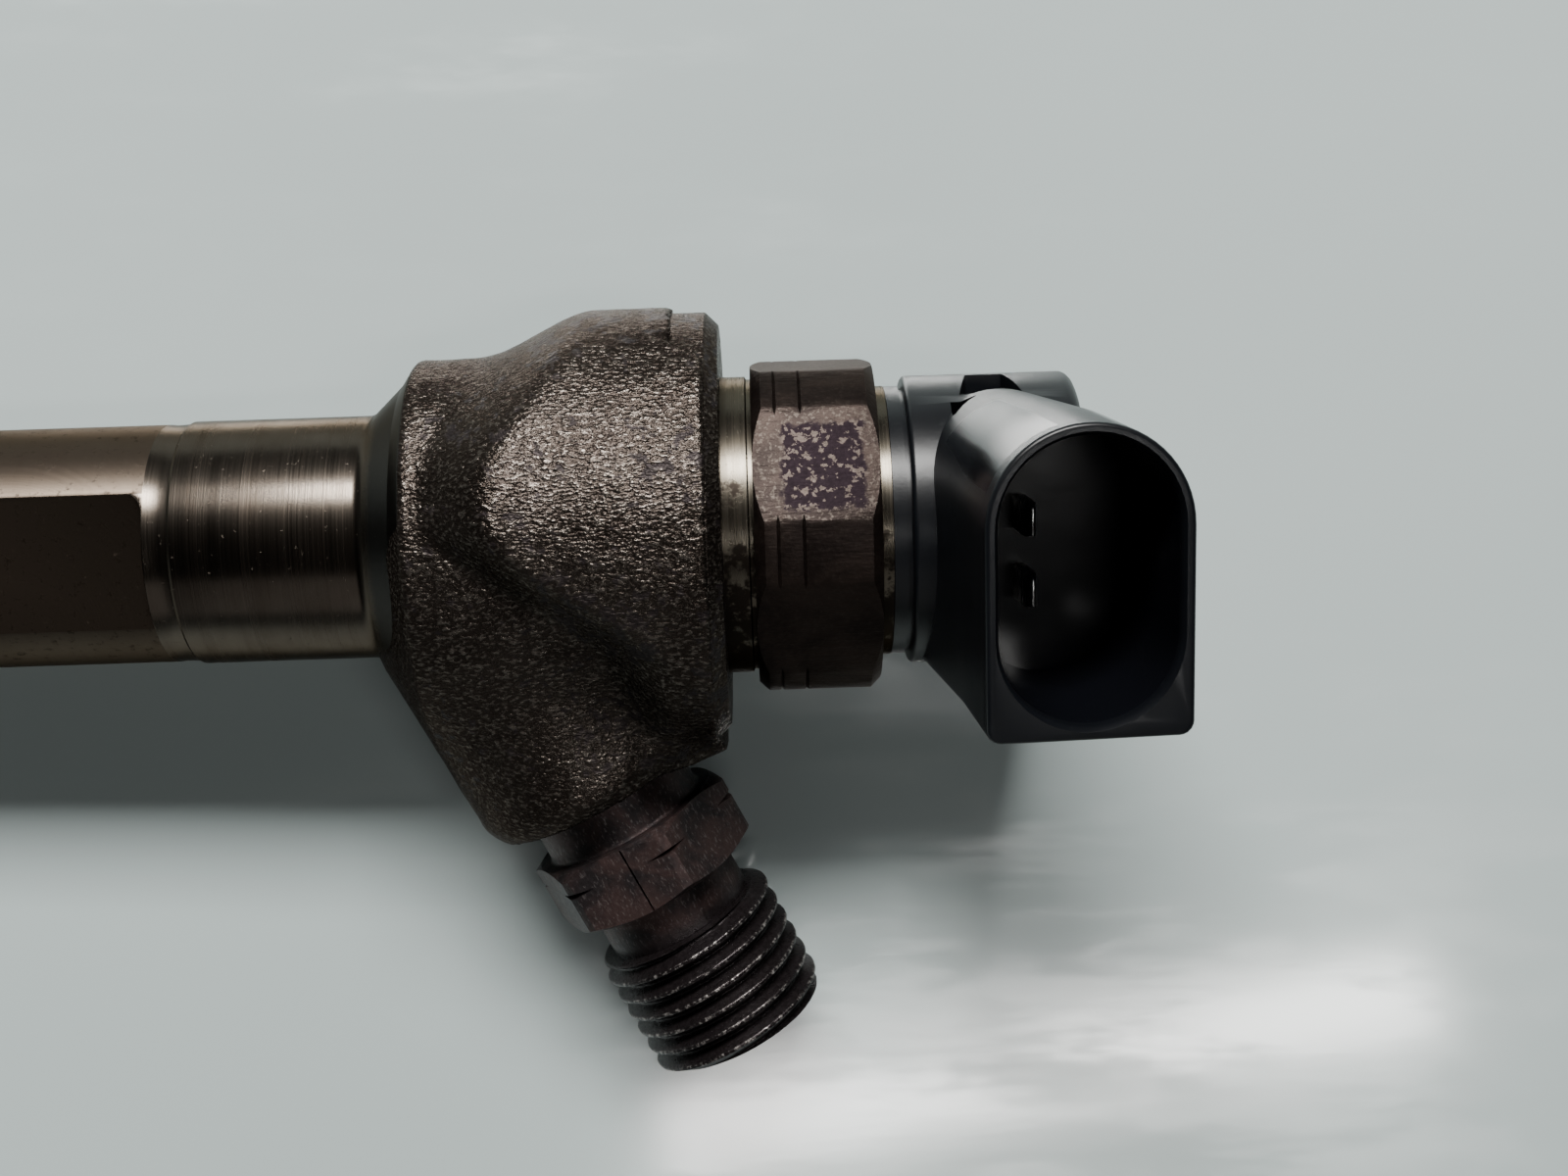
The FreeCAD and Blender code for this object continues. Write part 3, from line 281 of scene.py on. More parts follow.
@dataclass(frozen=True)
class Finish:
    """A material: subclasses say how its surface varies."""

    name: str
    lie: Lie
    on_inlet: bool = False

    def place(self, graph: Graph) -> Place:
        """The shaded point in the injector's frame, or in the inlet union's."""
        coordinates = graph.node("ShaderNodeTexCoord").outputs["Object"]
        seat = (self.lie.inlet_seat() if self.on_inlet else self.lie.seat()).inverted()
        moved = graph.node("ShaderNodeMapping", {"vector_type": "POINT"}, {
            "Vector": coordinates, "Location": seat.to_translation(),
            "Rotation": seat.to_euler("XYZ"), "Scale": seat.to_scale()})
        point = Field(graph, moved.outputs[0])
        x, y, z = graph.split(point)
        return Place(point, x, y, z, (y * y + z * z) ** 0.5)

    def surface(self, graph: Graph, place: Place, shader: bpy.types.Node) -> Field | None:
        """Sets the shader's sockets and returns the relief in millimetres, if any."""
        raise NotImplementedError

    @staticmethod
    def paint(graph: Graph, shader: bpy.types.Node, tone: Field, rough: Field,
              metallic: Operand = 0.0, rim: Colour | None = None) -> None:
        """Sets what varies over the surface.

        Args:
            graph: The material's nodes.
            shader: Its Principled shader.
            tone: Base colour.
            rough: Roughness.
            metallic: Metalness.
            rim: Tint of the reflection at a grazing angle, if it isn't white.
        """
        for name, value in (("Base Color", tone), ("Roughness", rough), ("Metallic", metallic)):
            graph.feed(shader.inputs[name], value)
        if rim:
            shader.inputs["Specular Tint"].default_value = (*rim, 1.0)

    @staticmethod
    def overlay(graph: Graph, shader: bpy.types.Node, mask: Field, tone: object,
                rough: Operand) -> None:
        """Lays another tone and roughness over what the shader has, where the mask is 1."""
        base, under = (shader.inputs[name].links[0].from_socket
                       for name in ("Base Color", "Roughness"))
        graph.feed(shader.inputs["Base Color"], graph.mix(mask, base, tone))
        graph.feed(shader.inputs["Roughness"], Field(graph, under) * (1.0 - mask) + mask * rough)

    def material(self) -> bpy.types.Material:
        """Builds the material."""
        made = bpy.data.materials.new(self.name)
        made.use_nodes = True
        made.node_tree.nodes.clear()
        graph = Graph(made.node_tree)
        shader = graph.node("ShaderNodeBsdfPrincipled")
        relief = self.surface(graph, self.place(graph), shader)
        if relief is not None:
            bump = graph.node("ShaderNodeBump", inputs={
                "Height": relief, "Strength": 1.0, "Distance": MM})
            graph.feed(shader.inputs["Normal"], bump.outputs[0])
        graph.node("ShaderNodeOutputMaterial", inputs={"Surface": shader.outputs[0]})
        return made


@dataclass(frozen=True)
class Forged(Finish):
    """Scale-brown forged steel: an orange-peel skin with oily stains and bare high spots."""

    skin: Colour = (0.042, 0.034, 0.029)
    dark: Colour = (0.024, 0.0185, 0.0155)
    bare: Colour = (0.23, 0.20, 0.175)
    dark_patch_tone: Colour = (0.012, 0.009, 0.012)
    rim: Colour = (0.40, 0.37, 0.35)
    peel_depth: float = 0.150
    fine_depth: float = 0.016
    oily_from: float = 122.0
    oily_to: float = 134.0

    def surface(self, graph: Graph, place: Place, shader: bpy.types.Node) -> Field:
        """Orange peel drawn out along X, with rubbed peaks, and stains towards the face."""
        peel = graph.noise(graph.rows(place, (0.55, 1.0, 1.0)), 4.3, 2.0, 0.5, 0.3)
        fine = graph.noise(place.point, 6.0, 3.0, 0.6)
        cloud = graph.noise(place.point, 0.13, 4.0, 0.5, 0.8)
        spots = graph.noise(place.point, 0.9, 4.0, 0.62)
        spots += (cloud - 0.5) * 0.5 + place.x.between(self.oily_from, self.oily_to) * 0.06
        stained = spots.between(0.60, 0.66)
        peaks = peel.between(0.50, 0.68)
        tone = graph.mix(cloud.between(0.3, 0.7), self.dark, self.skin)
        tone = graph.mix(peaks * 0.42, tone, self.bare)
        tone = graph.mix(stained * 0.65, tone, self.dark_patch_tone)
        rough = 0.27 + stained * 0.14 + (fine - 0.5) * 0.08 - peaks * 0.05
        self.paint(graph, shader, tone, rough, 0.85 - stained * 0.3, self.rim)
        return peel * self.peel_depth + fine * self.fine_depth


@dataclass(frozen=True)
class Machined(Finish):
    """Turned or milled steel: rings about X, tarnish, pits and stains."""

    steel: Colour = (0.118, 0.100, 0.083)
    tarnish: Colour = (0.064, 0.049, 0.038)
    streak: Colour = (0.045, 0.032, 0.023)
    pit: Colour = (0.02, 0.016, 0.014)
    rim: Colour = (0.45, 0.43, 0.41)
    rough: float = 0.22
    ring_pitch: float = 9.0
    ring_depth: float = 0.006
    pit_depth: float = 0.02
    tarnished: float = 0.6
    pitted: float = 0.5

    def surface(self, graph: Graph, place: Place, shader: bpy.types.Node) -> Field:
        """Turning marks are noise that changes only along X."""
        turning = graph.join(place.x * self.ring_pitch, place.radius * self.ring_pitch * 0.6, 0.0)
        rings = graph.noise(turning, 1.0, 4.0, 0.65)
        bands = graph.noise(graph.join(place.x * 0.55, 0.0, 0.0), 1.0, 3.0, 0.6)
        cloud = graph.noise(place.point, 0.11, 4.0, 0.6, 0.7)
        pits = graph.noise(place.point, 2.6, 4.0, 0.7).between(0.66, 0.74)
        streaks = graph.noise(graph.rows(place, (2.2, 0.35, 0.35)), 0.5, 4.0, 0.6)
        brown = cloud.between(0.35, 0.66) * 0.6 + bands.between(0.4, 0.7) * 0.4
        brown = brown * self.tarnished
        tone = graph.mix(brown, self.steel, self.tarnish)
        tone = graph.mix(streaks.between(0.48, 0.72) * 0.35 * self.tarnished, tone, self.streak)
        tone = graph.mix(pits * self.pitted, tone, self.pit)
        rough = self.rough + (rings - 0.5) * 0.22 + brown * 0.10 + pits * 0.2
        self.paint(graph, shader, tone, rough, 1.0 - pits * 0.4, self.rim)
        return rings * self.ring_depth - pits * self.pit_depth


@dataclass(frozen=True)
class Stem(Machined):
    """The stem's turned steel, with brown milled clamp flats and a darker band on the cone."""

    flat_height: float = 7.0
    flat_radius: float = 8.41
    flat_start: float = 77.4
    flat_end: float = 97.4
    flat_tones: tuple[Colour, Colour] = ((0.078, 0.060, 0.046), (0.032, 0.024, 0.018))
    cutter_at: tuple[float, float] = (88.0, -5.0)
    cone_start: float = 112.1
    cone_dark_tone: Colour = (0.055, 0.055, 0.054)

    def surface(self, graph: Graph, place: Place, shader: bpy.types.Node) -> Field:
        """Adds the cutter's arcs on the flats and a darker band on the cone to the turned surface."""
        relief = super().surface(graph, place, shader)
        flat = abs(place.z).between(self.flat_height + 0.02, self.flat_height + 0.005)
        flat *= place.radius.between(self.flat_radius + 0.03, self.flat_radius)
        flat *= place.x.between(self.flat_start - 0.02, self.flat_start + 0.02)
        flat *= place.x.between(self.flat_end + 0.02, self.flat_end - 0.02)
        across, along = (axis - middle for axis, middle in zip((place.x, place.y), self.cutter_at))
        swing = (across ** 2.0 + along ** 2.0) ** 0.5
        arcs = graph.noise(graph.join(swing * 2.4, 0.0, 0.0), 1.0, 2.0, 0.6)
        speckle = graph.noise(place.point, 1.6, 5.0, 0.7).between(0.55, 0.68)
        brown = graph.mix(speckle, *self.flat_tones)
        self.overlay(graph, shader, flat, brown, 0.42 + speckle * 0.15)
        cone_band = place.x + (speckle - 0.5) * 0.4
        cone_band = cone_band.between(self.cone_start, self.cone_start + 0.8)
        self.overlay(graph, shader, cone_band * 0.85, self.cone_dark_tone, 0.30)
        return relief * (1.0 - flat) + (arcs * 0.010 + speckle * 0.004) * flat


@dataclass(frozen=True)
class NeckWithStainAndShade(Machined):
    """The bright neck under the nut, with ragged dark patches that gather towards -Y: stains in their
    shape, painted shade in their lean to the side away from the window.
    """

    dark_patch_tone: Colour = (0.016, 0.012, 0.010)

    def surface(self, graph: Graph, place: Place, shader: bpy.types.Node) -> Field:
        """Lays ragged dark patches over the turned surface, with more of them towards -Y as painted
        shade.
        """
        relief = super().surface(graph, place, shader)
        # Painted shade: the y term pushes the dark patches towards -Y, the side that faces away from
        # the window.
        stain = graph.noise(place.point, 0.55, 5.0, 0.7) - place.y * 0.020
        stain = stain.between(0.47, 0.58)
        self.overlay(graph, shader, stain * 0.92, self.dark_patch_tone, 0.42)
        return relief - stain * 0.004


@dataclass(frozen=True)
class Phosphate(Finish):
    """The solenoid nut: brown-black phosphate, rubbed at its edges, with a generic stain."""

    coat: Colour = (0.028, 0.020, 0.017)
    dark: Colour = (0.014, 0.010, 0.009)
    speckle_and_light: Colour = (0.080, 0.066, 0.056)
    worn: Colour = (0.21, 0.185, 0.165)
    stain: tuple[Colour, Colour] = ((0.010, 0.006, 0.0085), (0.045, 0.035, 0.030))
    rim: Colour = (0.5, 0.47, 0.45)
    flat_turn: float = math.radians(30)
    flat_out: float = 11.16
    flat_half: float = 4.2
    patch_middle: float = 143.2
    patch_half: tuple[float, float] = (2.9, 3.2)

    def surface(self, graph: Graph, place: Place, shader: bpy.types.Node) -> Field:
        """Saw marks run round the nut, and one flat carries a mottled stain; that flat, which faces
        the window, also gets many lighter specks as painted light.
        """
        edge = graph.edge()
        saw = graph.noise(graph.rows(place, (0.5, 2.6, 2.6)), 1.0, 3.0, 0.6)
        fine = graph.noise(place.point, 3.2, 4.0, 0.65)
        cloud = graph.noise(place.point, 0.20, 4.0, 0.6, 0.5)
        cosine, sine = math.cos(self.flat_turn), math.sin(self.flat_turn)
        around = place.y * cosine - place.z * sine
        flat = (place.y * sine + place.z * cosine).between(self.flat_out - 0.08, self.flat_out)
        flat *= abs(around).between(self.flat_half, self.flat_half - 0.3)
        ragged = (graph.noise(place.point, 0.9, 4.0, 0.7) - 0.5) * 1.6
        inside = flat
        for way, half in zip((place.x - self.patch_middle, around + 0.1), self.patch_half):
            inside *= (abs(way) + ragged).between(half, half - 0.4)
        mottle = graph.noise(place.point, 1.9, 3.0, 0.6).between(0.545, 0.585)
        tone = graph.mix(cloud.between(0.35, 0.65), self.dark, self.coat)
        # Light specks: a few everywhere as wear, and many more on the flat that faces the window,
        # where they are painted light.
        tone = graph.mix(fine.between(0.50, 0.66) * (0.10 + flat * 0.60), tone, self.speckle_and_light)
        tone = graph.mix(inside, tone, graph.mix(mottle, *self.stain))
        tone = graph.mix(edge * fine.between(0.34, 0.56) * 0.85, tone, self.worn)
        rough = 0.44 + inside * (1.0 - mottle) * 0.12 - edge * 0.12 + (fine - 0.5) * 0.22
        self.paint(graph, shader, tone, rough, 0.80, self.rim)
        return saw * 0.045 + fine * 0.022


@dataclass(frozen=True)
class InletSteel(Finish):
    """The inlet union: rusty brown, rubbed on its hexagon, oily black in its thread."""

    rust: Colour = (0.050, 0.030, 0.028)
    soot: Colour = (0.019, 0.015, 0.016)
    worn: Colour = (0.24, 0.21, 0.205)
    crest: Colour = (0.40, 0.37, 0.35)
    crest_radius: float = 6.90
    thread_start: float = 31.0

    def surface(self, graph: Graph, place: Place, shader: bpy.types.Node) -> Field:
        """Rust in clouds, scuffs as short scratches, and an oily thread."""
        cloud = graph.noise(place.point, 0.28, 4.0, 0.6, 0.6)
        fine = graph.noise(place.point, 3.0, 5.0, 0.7)
        scuff = graph.noise(graph.rows(place, (1.0, 2.4, 2.4)), 2.2, 4.0, 0.65)
        scuff = scuff.between(0.54, 0.68)
        thread = place.x.between(self.thread_start, self.thread_start + 1.5)
        crest = place.radius.between(self.crest_radius - 0.12, self.crest_radius) * thread
        tone = graph.mix(cloud.between(0.36, 0.62), self.soot, self.rust)
        tone = graph.mix(thread * 0.95, tone, self.soot)
        tone = graph.mix(scuff * (1.0 - thread) * 0.30, tone, self.worn)
        tone = graph.mix(graph.edge() * fine.between(0.40, 0.60) * 0.8, tone, self.worn)
        tone = graph.mix(crest * fine.between(0.50, 0.64) * 0.75, tone, self.crest)
        rough = 0.44 - thread * 0.14 + (fine - 0.5) * 0.25 - scuff * 0.05
        self.paint(graph, shader, tone, rough, 0.75 - fine.between(0.4, 0.7) * 0.15)
        return fine * 0.035 + cloud * 0.05 - scuff * 0.004


@dataclass(frozen=True)
class Moulded(Finish):
    """Glass-filled black plastic: a faint grain with scuffs and dust."""

    tint: Colour = (0.0026, 0.0030, 0.0042)
    scuffed: Colour = (0.010, 0.012, 0.015)
    rough: float = 0.30
    gloss: float = 0.35
    pocket_shade_tint: Colour = (0.0028, 0.0031, 0.0044)
    pocket_rough: float = 0.17
    pocket_at: float = 156.65
    pocket_lean: float = 0.07
    pocket_half: tuple[float, float] = (6.0, 9.4)
    pocket_floor: float = 10.0
    pocket_top: float = 23.6

    def surface(self, graph: Graph, place: Place, shader: bpy.types.Node) -> Field:
        """Moulding grain with soft flow lines; inside the socket's pocket a painted shade, one even
        dark tone without the lighter dust and flow marks, on a smoother surface.
        """
        across = place.x - place.z * self.pocket_lean - self.pocket_at
        pocket = place.z.between(self.pocket_floor - 1.0, self.pocket_floor)
        pocket *= place.z.between(self.pocket_top + 0.4, self.pocket_top)
        for way, half in zip((across, place.y), self.pocket_half):
            pocket *= abs(way).between(half, half - 0.1)
        grain = graph.noise(place.point, 9.0, 2.0, 0.6)
        flow = graph.noise(graph.rows(place, (0.4, 0.4, 0.08)), 1.0, 3.0, 0.5)
        dust = graph.noise(place.point, 0.9, 6.0, 0.75).between(0.56, 0.80)
        tone = graph.mix(dust * 0.35 + flow * 0.18, self.tint, self.scuffed)
        self.paint(graph, shader, tone, self.rough + flow * 0.06 + (grain - 0.5) * 0.08 + dust * 0.14)
        # Painted shade: the pocket inside the socket takes one even dark tone in place of the dusty
        # one, and a lower roughness.
        self.overlay(graph, shader, pocket, self.pocket_shade_tint, self.pocket_rough)
        shader.inputs["Specular IOR Level"].default_value = self.gloss
        return grain * 0.004 + flow * 0.02


@dataclass(frozen=True)
class Plain(Finish):
    """A simpler finish for pieces that sit inside: two tones, a grain and its depth."""

    light: Colour = (0.5, 0.5, 0.5)
    shade: Colour = (0.3, 0.3, 0.3)
    rough: float = 0.35
    metallic: float = 1.0
    grain: float = 3.0
    depth: float = 0.004

    def surface(self, graph: Graph, place: Place, shader: bpy.types.Node) -> Field:
        """Clouded tone over a fine grain."""
        cloud = graph.noise(place.point, 0.4, 3.0, 0.55)
        grain = graph.noise(place.point, self.grain, 3.0, 0.6)
        tone = graph.mix(cloud.between(0.3, 0.7), self.light, self.shade)
        self.paint(graph, shader, tone, self.rough + (grain - 0.5) * 0.18, self.metallic)
        return grain * self.depth


# ---------------------------------------------------------------------------------------------
# Shaping
# ---------------------------------------------------------------------------------------------


def new_mesh(name: str, points: Sequence, faces: Sequence) -> bpy.types.Object:
    """An object from points and faces, its normals turned outwards."""
    mesh = bpy.data.meshes.new(name)
    mesh.from_pydata([tuple(point) for point in points], [], [tuple(face) for face in faces])
    piece = bpy.data.objects.new(name, mesh)
    bpy.context.scene.collection.objects.link(piece)
    tidy_normals(piece)
    return piece


def tidy_normals(piece: bpy.types.Object, merge: float = 1e-5) -> None:
    """Merges doubled points and turns every face outwards."""
    shape = bmesh.new()
    shape.from_mesh(piece.data)
    bmesh.ops.remove_doubles(shape, verts=shape.verts, dist=merge)
    bmesh.ops.dissolve_degenerate(shape, edges=shape.edges, dist=merge)
    bmesh.ops.recalc_face_normals(shape, faces=shape.faces)
    shape.to_mesh(piece.data)
    shape.free()


def rounded(points: Profile, steps: int = 5) -> Profile:
    """Replaces each corner that has a third number, its radius, with an arc.

    Args:
        points: Corners as (x, r) or (x, r, radius).
        steps: Chords in each arc.

    Returns:
        Plain (x, r) points.
    """
    done: Profile = []
    for before, here, after in zip(points[-1:] + points[:-1], points, points[1:] + points[:1]):
        corner = Vector(here[:2])
        if len(here) < 3:
            done.append(tuple(corner))
            continue
        into = (Vector(before[:2]) - corner).normalized()
        out = (Vector(after[:2]) - corner).normalized()
        half = into.angle(out) / 2
        centre = corner + (into + out).normalized() * here[2] / math.sin(half)
        start = corner + into * here[2] / math.tan(half) - centre
        end = corner + out * here[2] / math.tan(half) - centre
        for step in range(steps + 1):
            done.append(tuple(centre + start.lerp(end, step / steps).normalized() * here[2]))
    return done


def turn(name: str, profile: Profile, start: float = 0.0, segments: int = 192) -> bpy.types.Object:
    """A closed solid of revolution about X.

    Args:
        name: The object's name.
        profile: Its outline, which starts and ends on the axis unless the solid has a bore.
        start: Added to every x.
        segments: Facets round the axis.

    Returns:
        The object, in millimetres.
    """
    outline = rounded(profile)
    angles = np.linspace(0.0, 2 * math.pi, segments, endpoint=False)
    points = [(x + start, r * math.cos(a), r * math.sin(a)) for x, r in outline for a in angles]
    bored = outline[0][1] > 0
    rows = range(len(outline) if bored else len(outline) - 1)
    faces = []
    for row in rows:
        here, there = row * segments, (row + 1) % len(outline) * segments
        for step in range(segments):
            after = (step + 1) % segments
            faces.append((here + step, here + after, there + after, there + step))
    return new_mesh(name, points, faces)


def loft(name: str, loops: Sequence[Sequence[Sequence[float]]]) -> bpy.types.Object:
    """A closed skin through loops of equally many points, capped at both ends."""
    count = len(loops[0])
    points = [point for loop in loops for point in loop]
    faces = [tuple(range(count)), tuple(range(len(points) - count, len(points)))]
    for row in range(len(loops) - 1):
        for step in range(count):
            after = (step + 1) % count
            faces.append((row * count + step, row * count + after, (row + 1) * count + after,
                          (row + 1) * count + step))
    return new_mesh(name, points, faces)


def bake(piece: bpy.types.Object) -> None:
    """Applies a piece's modifiers to its mesh."""
    graph = bpy.context.evaluated_depsgraph_get()
    graph.update()
    mesh = bpy.data.meshes.new_from_object(piece.evaluated_get(graph))
    piece.modifiers.clear()
    piece.data = mesh


def cut(piece: bpy.types.Object, tool: bpy.types.Object, operation: str = "DIFFERENCE") -> None:
    """Cuts, joins or keeps what two solids share, and removes the tool."""
    step = piece.modifiers.new("cut", "BOOLEAN")
    step.object = tool
    step.operation = operation
    step.solver = "EXACT"
    bake(piece)
    bpy.data.objects.remove(tool)


def soften(piece: bpy.types.Object, width: float, segments: int = 2, angle: float = 32.0) -> None:
    """Rounds sharp edges, and marks the rounded faces in the attribute edge for wear."""
    step = piece.modifiers.new("soften", "BEVEL")
    step.width = width
    step.segments = segments
    step.limit_method = "ANGLE"
    step.angle_limit = math.radians(angle)
    step.material = 1
    for _ in range(2 - len(piece.data.materials)):
        piece.data.materials.append(None)
    bake(piece)
    edge = piece.data.attributes.new("edge", "FLOAT", "FACE")
    edge.data.foreach_set("value", [float(face.material_index == 1) for face in piece.data.polygons])
    for face in piece.data.polygons:
        face.material_index = 0
    piece.data.materials.clear()


def nodes_modifier(piece: bpy.types.Object, tree: bpy.types.NodeTree,
                   values: dict[str, object]) -> None:
    """Gives a piece a Geometry Nodes modifier with named inputs set, and applies it."""
    step = piece.modifiers.new(tree.name, "NODES")
    step.node_group = tree
    for item in tree.interface.items_tree:
        if item.item_type == "SOCKET" and item.in_out == "INPUT" and item.name in values:
            step[item.identifier] = values[item.name]
    bake(piece)


def new_tree(name: str, numbers: Sequence[str],
             counts: Sequence[str] = ()) -> tuple[Graph, dict[str, Field]]:
    """A geometry tree with named inputs, the last of them its material.

    Args:
        name: The tree's name.
        numbers: The inputs that are decimal numbers.
        counts: The inputs that are whole numbers.

    Returns:
        The graph, and the inputs by name.
    """
    kinds = dict.fromkeys(numbers, "NodeSocketFloat") | dict.fromkeys(counts, "NodeSocketInt")
    kinds["Material"] = "NodeSocketMaterial"
    tree = bpy.data.node_groups.new(name, "GeometryNodeTree")
    for label, kind in kinds.items():
        tree.interface.new_socket(name=label, in_out="INPUT", socket_type=kind)
    tree.interface.new_socket(name="Geometry", in_out="OUTPUT", socket_type="NodeSocketGeometry")
    graph = Graph(tree)
    entry = graph.node("NodeGroupInput")
    return graph, {label: Field(graph, entry.outputs[label]) for label in kinds}


def end_tree(graph: Graph, geometry: object, material: Field) -> None:
    """Ends a geometry tree in Realize Instances and Set Material."""
    real = graph.node("GeometryNodeRealizeInstances", inputs={"Geometry": geometry})
    dressed = graph.node("GeometryNodeSetMaterial", inputs={
        "Geometry": real.outputs["Geometry"], "Material": material})
    graph.node("NodeGroupOutput", inputs={"Geometry": dressed.outputs["Geometry"]})


def hexagon(across_flats: float, low: float, high: float, turn_by: float = 0.0) -> bpy.types.Object:
    """A hexagonal bar along X, with one flat square to Y before it is turned."""
    corner = across_flats / math.sqrt(3)
    angles = [turn_by + math.radians(30 + 60 * step) for step in range(6)]
    return loft("bar", [[(x, corner * math.cos(a), corner * math.sin(a)) for a in angles]
                        for x in (low, high)])


def jaws(across_flats: float, levels: Sequence[tuple[float, float]], clock: float = 0.0,
         count: int = 360) -> bpy.types.Object:
    """A cutter along X that is hexagonal at some levels and round at the others.

    Args:
        across_flats: The hexagon's size.
        levels: Each level's place along X and its radius, or 0 where it is hexagonal.
        clock: The hexagon's turn about X, in radians.
        count: Points round each level.
    """
    sixth = math.pi / 3
    angles = np.linspace(0, 2 * math.pi, count, endpoint=False)
    flats = [across_flats / 2 / math.cos((a - clock + sixth / 2) % sixth - sixth / 2) for a in angles]
    loops = []
    for x, radius in levels:
        radii = [radius] * count if radius else flats
        loops.append([(x, r * math.cos(a), r * math.sin(a)) for a, r in zip(angles, radii)])
    return loft("jaws", loops)


@dataclass
class Assembly:
    """A sub-assembly: it shapes its pieces, places them and hands them to the frame."""

    lie: Lie
    finishes: dict[Slot, bpy.types.Material]
    body: str = "housing"

    def hand_over(self, piece: bpy.types.Object, slot: Slot, nodes: Sequence[str],
                  seat: Matrix | None = None, sharp: float = 32.0) -> None:
        """Brings a piece to the row frame, dresses it and hides the CAD nodes that it stands for.

        Args:
            piece: The object, in millimetres.
            slot: Its finish.
            nodes: The CAD nodes that it replaces.
            seat: From its millimetres to the row frame, or None for the injector's own.
            sharp: Edges that turn by more degrees than this stay sharp.
        """
        piece.data.transform(self.lie.seat() if seat is None else seat)
        piece.data.materials.clear()
        piece.data.materials.append(self.finishes[slot])
        piece.data.shade_smooth()
        piece.data.set_sharp_from_angle(angle=math.radians(sharp))
        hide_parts(*nodes)
        if self.body:
            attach(piece, self.body)
        log.info("%s: %d faces", piece.name, len(piece.data.polygons))


